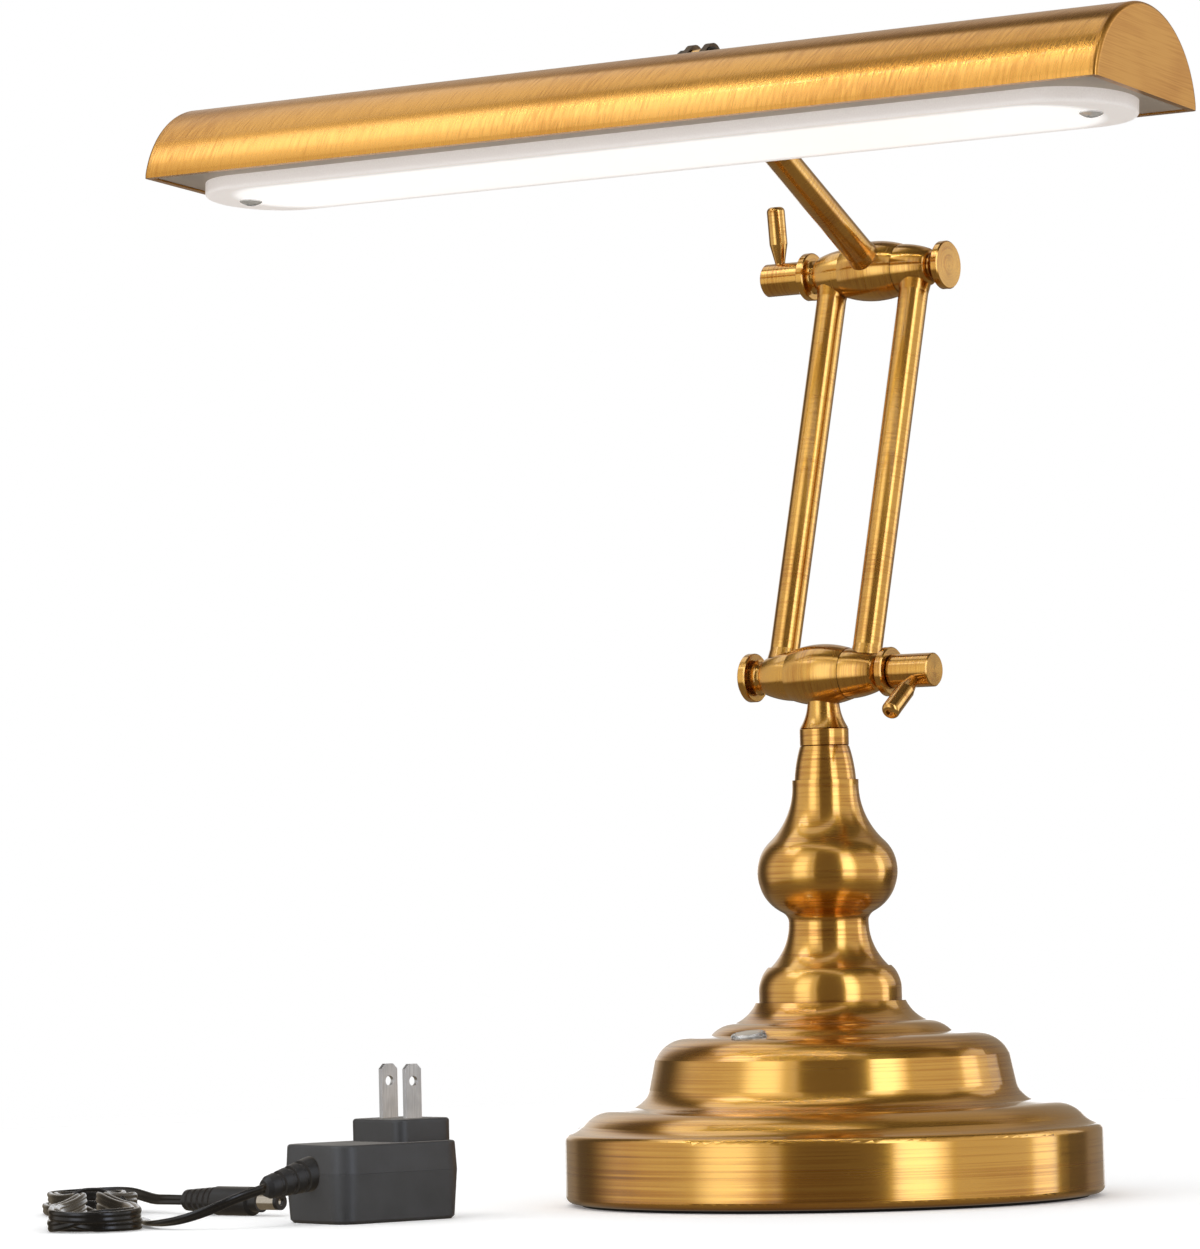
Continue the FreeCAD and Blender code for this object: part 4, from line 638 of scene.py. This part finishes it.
# ---- power supply
@dataclass
class PlugAdapter:
    """Moulded adapter with its blades and the lead's strain relief."""

    blades: BareMetal = BareMetal("nickel_plated_blades", "#D2D5DA", "#B0B3B8", 0.3, 0.5, 0.25,
                                  drawn=(1.0, 1.0, 0.08))

    def build(self) -> None:
        """Dresses the adapter."""
        dress(MouldedPlastic("charcoal_abs_case", "#3D3E40", "#323335", 0.42, 0.45, 0.3),
              "adapter_upper_shell", "adapter_lower_shell")
        dress(MouldedPlastic("black_pvc_relief", "#1C1C1D", "#151516", 0.38), "adapter_strain_relief")
        dress(self.blades, "adapter_blades")


@dataclass
class BarrelConnector:
    """Ribbed boot, grip, nickel barrel and tip at the lead's far end."""

    def build(self) -> None:
        """Dresses the connector."""
        dress(MouldedPlastic("black_pvc_connector", "#202021", "#161617", 0.36, 0.5, 0.2),
              "connector_boot", "connector_grip")
        dress(BareMetal("nickel_plated_barrel", "#D5D0C6", "#B7B2A8", 0.16), "connector_barrel")
        dress(MouldedPlastic("black_nylon_tip", "#1A1A1B", "#121213", 0.35), "connector_tip")


@dataclass(frozen=True)
class Loop:
    """One loop of the hank on one side of the tie: out by one lane, round the end, back by the other.

    A lane is mm right of the hank's middle and mm high, and so is a pass of the tie.
    """

    out: Pair
    back: Pair
    reach: float  # mm from the tie to the loop's end
    change: Pair = (0.3, 0.8)  # shares of the end's turn between which the height changes
    sag: float = 0.0  # mm that the end dips between its two lanes


@dataclass
class FlatTwinLead:
    """Flat twin lead: from the adapter's relief, along the table, through the tied hank, to the connector.

    The hank is wound as by hand: the first turn lies on the table, the next go round it and on it, and the
    last but one leans off its left side. Sizes are in mm but for the rolls' and the declared length.
    """

    width: float = 3.6
    thickness: float = 1.95
    groove: float = 0.34  # depth of the line between the two conductors
    groove_share: float = 0.14  # how wide that line is, as a share of the width
    roundness: float = 0.72  # 1 is an ellipse, and less is fuller at the edges
    declared_length: float = 1.495
    ring: int = 28  # points round the lead
    roll_out: tuple[Pair, ...] = (  # metres from the adapter, degrees up on its edge
        (0, 58), (0.02, 50), (0.045, 8), (0.105, 8), (0.135, 84))
    roll_back: tuple[Pair, ...] = (  # metres from the connector, degrees taken off again
        (0, 30), (0.02, 22), (0.045, 0))
    hank_centre: Pair = (-182.9, -163.3)
    hank_heading: float = 129.9
    tie_at: float = 7.0
    start: Point = (-101.18, -178.09, 12.06)
    lead_in: tuple[Point, ...] = (
        (-104, -187.2, 10), (-110.8, -193.8, 6), (-119.9, -197.2, 3), (-129.7, -195.6, 1.8),
        (-138.6, -189.9, 1.5), (-146.3, -181.2, 1.3), (-153.7, -172.2, 1.15), (-162.2, -165.2, 1.1),
        (-172, -161.8, 1.1), (-178.8, -160.6, 1.2), (-183.6, -159.3, 2.3))
    lead_out: tuple[Point, ...] = (
        (-211.6, -106.2, 6.3), (-203.6, -109.6, 5.3), (-195.9, -113.8, 4.5), (-187.4, -117.6, 4.75))
    end: Point = (-178.8, -119, 4.75)
    flare: tuple[Point, ...] = (  # mm from the tie, shares of the way to the lane sideways and in height
        (8, 0.1, 0.1), (17, 0.34, 0.6), (27, 0.66, 1), (37, 0.92, 1))
    turn_steps: int = 6  # corners round a loop's end
    loops: tuple[Loop, ...] = (  # far and near by turns
        Loop((-10.6, 1.9), (11.4, 1.9), 61.5), Loop((12.2, 1.9), (-12.2, 1.9), 72),
        Loop((-12.6, 1.9), (13.4, 1.9), 64.5), Loop((14.2, 1.9), (-12, 5.6), 75, (0.55, 0.95)),
        Loop((-10.9, 5.6), (11.6, 5.6), 63, sag=0.6), Loop((11.8, 5.6), (-14.2, 1.9), 77.2, (0.45, 0.85)),
        Loop((-14.6, 1.9), (15.4, 5.6), 66.5, (0.92, 1.2)), Loop((13.8, 5.6), (-13.9, 5.6), 79.3, sag=0.8),
        Loop((-12.9, 5.6), (13.2, 6.3), 66))
    passes: tuple[Pair, ...] = (  # through the tie, one before each loop
        (0.1, 3.3), (2.15, 3.9), (-2.05, 3.6), (4.2, 3.9), (-2.05, 7.3), (2.15, 7.6), (-4.1, 3.6),
        (4.2, 7.6), (-4.1, 7.3))

    def in_hank(self, along: float, right: float, height: float) -> Point:
        """A place given along the hank and to its right, in the world."""
        turn = math.radians(self.hank_heading)
        x = self.hank_centre[0] + along * math.cos(turn) + right * math.sin(turn)
        y = self.hank_centre[1] + along * math.sin(turn) - right * math.cos(turn)
        return x, y, height

    def flared(self, waist: Pair, lane: Pair) -> list[Point]:
        """Control points from a pass of the tie out to a lane, by shares of the distance between them."""
        return [(distance, waist[0] + (lane[0] - waist[0]) * share, waist[1] + (lane[1] - waist[1]) * rise)
                for distance, share, rise in self.flare]

    def loop_points(self, loop: Loop, way: int, first: Pair, last: Pair) -> list[Point]:
        """Control points of one loop, from one pass of the tie to the next.

        Each side opens from its pass of the tie to its lane. The end's points are the corners of a regular
        polygon round a half circle between the lanes, and its height goes smoothly from one to the other.

        Args:
            loop: the loop's own sizes.
            way: 1 for the far end and -1 for the near one.
            first: distance right and height at the pass before.
            last: the same at the pass after.

        Returns:
            The points in the hank's own frame.
        """
        (out, low), (back, high), (begun, done) = loop.out, loop.back, loop.change
        side = 1 if out > 0 else -1
        middle, radius = (out + back) / 2, abs(out - back) / 2
        centre = loop.reach - radius
        half_step = math.pi / self.turn_steps / 2
        corner, before = radius / math.cos(half_step), radius * math.tan(half_step)
        points = [*self.flared(first, loop.out), (centre - before, out, low)]
        for i in range(self.turn_steps):
            share = (i + 0.5) / self.turn_steps
            turn = math.pi * (0.5 - share)
            height = low + (high - low) * float(smoothstep((share - begun) / (done - begun)))
            points.append((centre + corner * math.cos(turn), middle + side * corner * math.sin(turn),
                           height - loop.sag * math.cos(turn)))
        points.append((centre - before, back, low + (high - low) * min(2 - done, 1.0)))
        points += self.flared(last, loop.back)[::-1]
        return [(self.tie_at + way * distance, right, height) for distance, right, height in points]

    def hank_points(self) -> list[Point]:
        """Control points of the hank: far and near loops by turns, with a point at each pass of the tie.

        The last loop stops near its end, where the lead goes off to the connector.
        """
        points = []
        for i, (loop, first) in enumerate(zip(self.loops, self.passes)):
            last = self.passes[(i + 1) % len(self.passes)]
            points += [(self.tie_at, *first), *self.loop_points(loop, -1 if i % 2 else 1, first, last)]
        return points[:-len(self.flare) - 2]

    def route(self) -> list[Point]:
        """Every control point of the lead, in metres."""
        hank = [self.in_hank(*point) for point in self.hank_points()]
        points = [self.start, *self.lead_in, *hank, *self.lead_out, self.end]
        return [(x * MM, y * MM, z * MM) for x, y, z in points]

    def section(self) -> Floats:
        """Outline of the lead: two round conductors in one skin, as (across, through) in metres.

        Across is half the width times cosine. Through is half the thickness times the sine's signed power,
        less a groove that is deepest at the middle and fades as a bell curve.
        """
        angle = np.linspace(0, 2 * np.pi, self.ring, endpoint=False)
        across = np.cos(angle) * self.width / 2
        through = signed_power(np.sin(angle), self.roundness) * self.thickness / 2
        dip = self.groove * np.exp(-(across / (self.groove_share * self.width)) ** 2)
        return np.column_stack([across, through - np.sign(through) * dip]) * MM

    def build(self) -> None:
        """The lead as one piece that replaces its plain solids: its section, rolled and carried along."""
        line = route_curve(self.route())
        travelled = np.concatenate([[0.0], np.cumsum(np.linalg.norm(np.diff(line, axis=0), axis=1))])
        tangent, side, upright = carried_frames(line, UP)
        roll = np.radians(np.interp(travelled, *np.array(self.roll_out).T) -
                          np.interp(travelled[-1] - travelled, *np.array(self.roll_back).T))[:, None]
        wide = side * np.cos(roll) + upright * np.sin(roll)
        thin = np.cross(tangent, wide)
        across, through = self.section().T
        points = line[:, None] + wide[:, None] * across[:, None] + thin[:, None] * through[:, None]
        pvc = MouldedPlastic("black_pvc_lead", "#131314", "#0C0C0D", 0.2, 1.4, 0.1)
        piece = add_piece("twin_lead", points, pvc)
        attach(piece, "base")
        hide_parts("cord_adapter_lead", "cord_hank", "cord_connector_lead")
        LOG.info("lead %.3f m in %d points", travelled[-1], len(line))


@dataclass
class WireTie:
    """Plastic-covered wire wound twice round the hank's waist, its ends twisted together; in mm."""

    lead: FlatTwinLead
    radius: float = 0.62
    half_width: float = 5.8
    bottom: float = 0.65
    top: float = 10.1
    pitch: float = 1.5  # between the two turns
    wound: Pair = (-0.12, 3.98)  # half turns round the waist at its start and end
    squareness: float = 0.7  # 1 winds an ellipse, and less a squarer box
    twists: float = 7.0  # half turns of the ends round each other
    swing: float = 0.75  # how far the twist swings at its root
    swing_lost: float = 0.35  # share of the swing that is gone at the tip
    flatness: float = 0.9  # height of the twist over its width
    tail_gap: float = 0.6  # from the waist to the twist
    tail: Point = (-1.8, 6.6, 2.6)  # run along the hank, run to the right, rise at its middle

    def path(self) -> Floats:
        """Two turns of a rounded box round the waist, then a tightening helix out to the right.

        Round the waist, across is the half width times the cosine's signed power, and up the half height
        times the sine's.
        """
        middle, half = (self.bottom + self.top) / 2, (self.top - self.bottom) / 2
        angle = np.linspace(self.wound[0] * np.pi, self.wound[1] * np.pi, 150)
        across = signed_power(np.cos(angle), self.squareness) * self.half_width
        height = middle + signed_power(np.sin(angle), self.squareness) * half
        along = self.lead.tie_at - self.pitch + self.pitch * angle / (2 * np.pi)
        turn = np.linspace(0, self.twists * np.pi, 90)[1:]
        out = turn / turn[-1]
        swing = self.swing * (1 - self.swing_lost * out)
        tail_along = along[-1] + swing * np.sin(turn) + self.tail[0] * out
        tail_across = self.half_width + self.tail_gap + self.tail[1] * out
        tail_height = (height[-1] + swing * (np.cos(turn) - 1) * self.flatness
                       + self.tail[2] * np.sin(np.pi * out))
        local = np.concatenate([np.column_stack([along, across, height]),
                                np.column_stack([tail_along, tail_across, tail_height])])
        return np.array([self.lead.in_hank(*point) for point in local.tolist()]) * MM

    def build(self) -> None:
        """The tie as a round tube along its path, in place of its plain solid."""
        turn = math.radians(self.lead.hank_heading)
        path = self.path()
        skin = MouldedPlastic("black_pvc_wire", "#101011", "#0A0A0B", 0.33, 0.9, 0.15)
        along_hank = (math.cos(turn), math.sin(turn), 0.0)
        tie = add_piece("wire_tie", round_tube(path, along_hank, self.radius * MM), skin)
        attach(tie, "base")
        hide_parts("twist_tie")
        LOG.info("wire tie of %d rings", len(path))


# ---- studio
@dataclass(frozen=True)
class NylonTent(Finish):
    """Nylon tent lit from outside; to the eye, bands of light in the metal, warm where they are dim."""

    brightest: float

    def surface(self, add: Adder, spot: Socket) -> Node:
        """Glow read from the mesh's own attribute, tinted by its share of the brightest."""
        glow = add("Attribute", attribute_name="glow").outputs["Fac"]
        share = add("Math", {0: glow, 1: self.brightest}, operation="DIVIDE")
        tint = add("ValToRGB", {"Fac": share}, ((0.08, "#F2DDBE"), (0.33, "#FFFFFF"), (0.9, "#E4ECFF")))
        return add("Emission", {"Color": tint, "Strength": glow})


@dataclass(frozen=True)
class LitGlass(Finish):
    """Glass tube of a lamp; to the eye, a fine white line in the lacquer."""

    glow: float

    def surface(self, add: Adder, spot: Socket) -> Node:
        """Even white light."""
        return add("Emission", {"Color": srgb("#FFFFFF"), "Strength": self.glow})


@dataclass(frozen=True)
class WhiteCard(Finish):
    """Matt white card; to the eye, a pale floor that holds soft shadows and has no edge."""

    kept: float = 0.5  # metres from the middle where the card starts to fade
    gone: float = 1.1
    lift: float = 0.16  # brings the card that the camera sees up to white
    fibre_mm: float = 2.0  # between fibres, coarser than real ones so that they show

    def surface(self, add: Adder, spot: Socket) -> Node:
        """Card with the lift added, mixed away to clear by a smooth step of the distance."""
        fibre = add("TexNoise", {"Vector": spot, "Scale": 1 / (self.fibre_mm * MM)})
        colour = add("ValToRGB", {"Fac": fibre}, ((0.3, "#F8F8F7"), (0.7, "#FDFDFC")))
        card = add("BsdfPrincipled", {"Base Color": colour, "Roughness": 0.9, "Specular IOR Level": 0.1})
        seen = add("LightPath").outputs["Is Camera Ray"]
        lift = add("Math", {0: seen, 1: self.lift}, operation="MULTIPLY")
        lift = add("Emission", {"Color": srgb("#FFFFFF"), "Strength": lift})
        card = add("AddShader", {0: card, 1: lift})
        reach = add("VectorMath", {0: spot}, operation="LENGTH").outputs["Value"]
        faded = add("MapRange", {"Value": reach, "From Min": self.kept, "From Max": self.gone},
                    interpolation_type="SMOOTHSTEP")
        return add("MixShader", {0: faded, 1: card, 2: add("BsdfTransparent")})


@dataclass(frozen=True)
class SoftBox:
    """A rectangular lamp that faces the object and lights its matt surfaces."""

    name: str
    azimuth: float  # degrees round from -Y towards +X
    elevation: float
    distance: float
    width: float
    height: float
    brightness: float  # of the lamp's face, where 1 is white


@dataclass(frozen=True)
class Panel:
    """A bright patch of the tent, which the metal mirrors, in degrees; it fades at its edges."""

    name: str
    azimuth: Pair
    elevation: Pair
    glow: float  # added to the tent's own
    fade: Point  # width of the fade at the left, at the right, and above and below

    def on(self, azimuth: Floats, elevation: Floats) -> Floats:
        """Glow at each direction: a smooth step in at each of the four sides, all multiplied."""
        left, right, up = self.fade
        sides = ((azimuth - self.azimuth[0]) / left, (self.azimuth[1] - azimuth) / right,
                 (elevation - self.elevation[0]) / up, (self.elevation[1] - elevation) / up)
        glow = np.full(azimuth.shape, self.glow)
        for side in sides:
            glow = glow * smoothstep(side + 0.5)
        return glow


def direction(azimuth: float | Floats, elevation: float | Floats) -> Floats:
    """Unit vectors (sin a cos e, -cos a cos e, sin e) for azimuths a and elevations e in degrees."""
    a, e = np.radians(azimuth), np.radians(elevation)
    return np.stack([np.sin(a) * np.cos(e), -np.cos(a) * np.cos(e), np.sin(e)], axis=-1)


def face(thing: bpy.types.Object, place: Vector, back: Vector, roll: float = 0.0) -> None:
    """Puts a lamp or camera in its place.

    Args:
        thing: the lamp or camera.
        place: where it stands.
        back: the way its back faces.
        roll: radians that it then turns, right over from its own view.
    """
    turned = back.to_track_quat("Z", "Y").to_matrix() @ Matrix.Rotation(-roll, 3, "Z")
    thing.matrix_world = Matrix.Translation(place) @ turned.to_4x4()


@dataclass
class Studio:
    """Pale floor, white surroundings, soft lamps, the tent that the metal mirrors, and the camera."""

    target: Vector = Vector((0.0, 0.0, 0.19))
    camera_azimuth: float = 31.9
    camera_height: float = 0.0991
    camera_distance: float = 2.0
    camera_roll: float = 1.3
    aim_right: float = -0.07356
    aim_height: float = 0.1922
    sensor: float = 36.0
    lens: float = 173.7
    clip: Pair = (0.1, 60.0)
    fill: float = 0.45  # light from all round
    floor_rings: tuple[float, ...] = (3.0, 1.2, 0.6, 0.002)
    floor_sides: int = 64
    tent_radius: float = 2.6
    tent_glow: float = 0.12
    brightest: float = 3.2
    tent_step: float = 1.0  # degrees between the tent's points
    hidden_from: tuple[str, ...] = ("camera", "diffuse", "shadow", "transmission")
    boxes: tuple[SoftBox, ...] = (
        SoftBox("left_softbox", -30, 24, 1.3, 1.9, 1.5, 1.2),
        SoftBox("right_softbox", 73.5, 20, 1.5, 1, 1.6, 1.2),
        SoftBox("overhead_softbox", -40, 82, 1.5, 1.6, 1, 1.2),
        SoftBox("back_softbox", 212, 25, 1.6, 1.5, 1.5, 1))
    panels: tuple[Panel, ...] = (
        Panel("front_gap", (5, 60), (-16, 70), 0.1, (5, 5, 16)),
        Panel("left_sheet", (-82, 9.5), (-18, 53), 0.68, (28, 5, 8)),
        Panel("left_core", (-25, -2), (-12, 37), 1.3, (13, 10, 20)),
        Panel("left_upper", (-65, -36), (38, 54), 2.1, (8, 8, 8)),
        Panel("right_sheet", (57, 81), (-20, 46), 1.2, (5, 5, 14)),
        Panel("right_core", (57, 76), (-12, 44), 1.8, (5, 9, 16)),
        Panel("right_spill", (82, 124), (-20, 42), 0.65, (8, 8, 14)),
        Panel("right_strip", (124, 139), (-14, 26), 1.9, (5, 5, 20)),
        Panel("side_card", (140, 164), (1.5, 34), 0.75, (3, 3, 3)),
        Panel("upper_card", (-126, -75), (44, 70), 1, (7, 7, 7)),
        Panel("low_back_card", (-164, -132), (-7, 2.5), 0.9, (4, 4, 3)),
        Panel("top_back_card", (-156, -120), (-2, 46), 0.45, (8, 14, 10)),
        Panel("left_back_card", (-138, -110), (-16, 30), 0.17, (8, 10, 12)),
        Panel("back_low_left", (-192, -156), (-16, 34), 0.2, (8, 8, 12)),
        Panel("back_low_right", (166, 192), (-16, 34), 0.2, (8, 8, 12)),
        Panel("back_top_left", (-192, -156), (34, 72), 0.35, (8, 8, 12)),
        Panel("back_top_right", (150, 192), (38, 72), 0.35, (8, 8, 12)),
        Panel("floor_sheet", (-180, 181), (-90, -22), 0.14, (1, 1, 12)))
    tube_ends: tuple[Pair, ...] = ((-46, 52), (50, 62))  # azimuth, elevation
    tube_distance: float = 1.3
    tube_radius: float = 0.007
    tube_glow: float = 20.0

    def add_boxes(self) -> None:
        """Area lamps; the power for a wanted radiance L over an area A is pi times L times A."""
        for box in self.boxes:
            lamp = bpy.data.lights.new(box.name, "AREA")
            lamp.shape = "RECTANGLE"
            lamp.size, lamp.size_y = box.width, box.height
            lamp.energy = math.pi * box.brightness * box.width * box.height
            holder = add_object(box.name, lamp)
            holder.visible_camera = False
            holder.visible_glossy = False
            way = Vector(direction(box.azimuth, box.elevation))
            face(holder, self.target + way * box.distance, way)

    def add_tent(self) -> None:
        """A round tent that only mirrors show, dark but for its lit panels.

        Its glow is the tent's own plus each panel's there. Its end rings stand half a step off the poles.
        """
        rise = np.arange(-90 + self.tent_step / 2, 90, self.tent_step)
        elevation, azimuth = np.meshgrid(rise, np.arange(-180, 180, self.tent_step), indexing="ij")
        glow = np.full(azimuth.shape, self.tent_glow)
        for panel in self.panels:
            glow += panel.on(azimuth, elevation)
        points = direction(azimuth, elevation) * self.tent_radius + np.array(self.target)
        tent = add_piece("light_tent", points, NylonTent("lit_nylon_tent", self.brightest),
                         self.hidden_from, capped=False)
        tent.data.attributes.new("glow", "FLOAT", "POINT").data.foreach_set("value", glow.ravel())

    def add_tube(self) -> None:
        """A thin bright tube in front and above, which draws a fine line in the lacquer."""
        ends = [np.array(self.target) + direction(*end) * self.tube_distance for end in self.tube_ends]
        points = round_tube(np.linspace(*ends, 12), UP, self.tube_radius)
        add_piece("light_tube", points, LitGlass("lit_glass_tube", self.tube_glow),
                           self.hidden_from)

    def add_floor(self) -> None:
        """Pale floor disc: rings of points, each at its radius times (cosine, sine) round the origin."""
        angle = np.linspace(0, 2 * np.pi, self.floor_sides, endpoint=False)
        ring = np.column_stack([np.cos(angle), np.sin(angle), np.zeros(self.floor_sides)])
        points = np.array(self.floor_rings)[:, None, None] * ring
        add_piece("pale_floor", points, WhiteCard("matt_white_card"), capped=False)

    def add_world(self) -> None:
        """White where the camera, mirrors and clear pieces look past everything, and dim fill elsewhere."""
        world = bpy.data.worlds.new("white_studio")
        world.use_nodes = True
        world.node_tree.nodes.clear()
        add = partial(add_node, world.node_tree)
        rays = add("LightPath").outputs
        seen = add("Math", {0: rays["Is Camera Ray"], 1: rays["Is Glossy Ray"]}, operation="MAXIMUM")
        seen = add("Math", {0: seen, 1: rays["Is Transmission Ray"]}, operation="MAXIMUM")
        fill = add("Background", {"Color": srgb("#F4F6FA"), "Strength": self.fill})
        white = add("Background", {"Color": srgb("#FFFFFF")})
        add("OutputWorld", {"Surface": add("MixShader", {0: seen, 1: fill, 2: white})})
        bpy.context.scene.world = world

    def add_camera(self) -> None:
        """Long lens from the front right, near table height, rolled a little."""
        turn = math.radians(self.camera_azimuth)
        place = Vector(direction(self.camera_azimuth, 0.0)) * self.camera_distance
        place.z = self.camera_height
        aim = Vector((math.cos(turn), math.sin(turn), 0.0)) * self.aim_right
        aim.z = self.aim_height
        data = bpy.data.cameras.new("camera")
        data.sensor_fit = "VERTICAL"
        data.sensor_height = self.sensor
        data.lens = self.lens
        data.clip_start, data.clip_end = self.clip
        camera = add_object("camera", data)
        face(camera, place, place - aim, math.radians(self.camera_roll))
        bpy.context.scene.camera = camera

    def build(self) -> None:
        """Everything round the object."""
        bpy.context.scene.view_settings.view_transform = "Standard"
        self.add_world()
        self.add_floor()
        self.add_tent()
        self.add_tube()
        self.add_boxes()
        self.add_camera()


def main() -> None:
    """Builds and dresses the lamp and its power supply, then the studio round it."""
    logging.basicConfig(level=logging.INFO, format="%(name)s: %(message)s")
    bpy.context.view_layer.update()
    lead = FlatTwinLead()
    for part in (WeightedBase(), TurnedColumn(), ClampedPivot("lower", LOWER_PIVOT, 125.0),
                 ClampedPivot("upper", UPPER_PIVOT, 6.6), Arms(), LightHead(), PlugAdapter(),
                 BarrelConnector(), WireTie(lead), lead, Studio()):
        part.build()


if __name__ == "__main__":
    main()
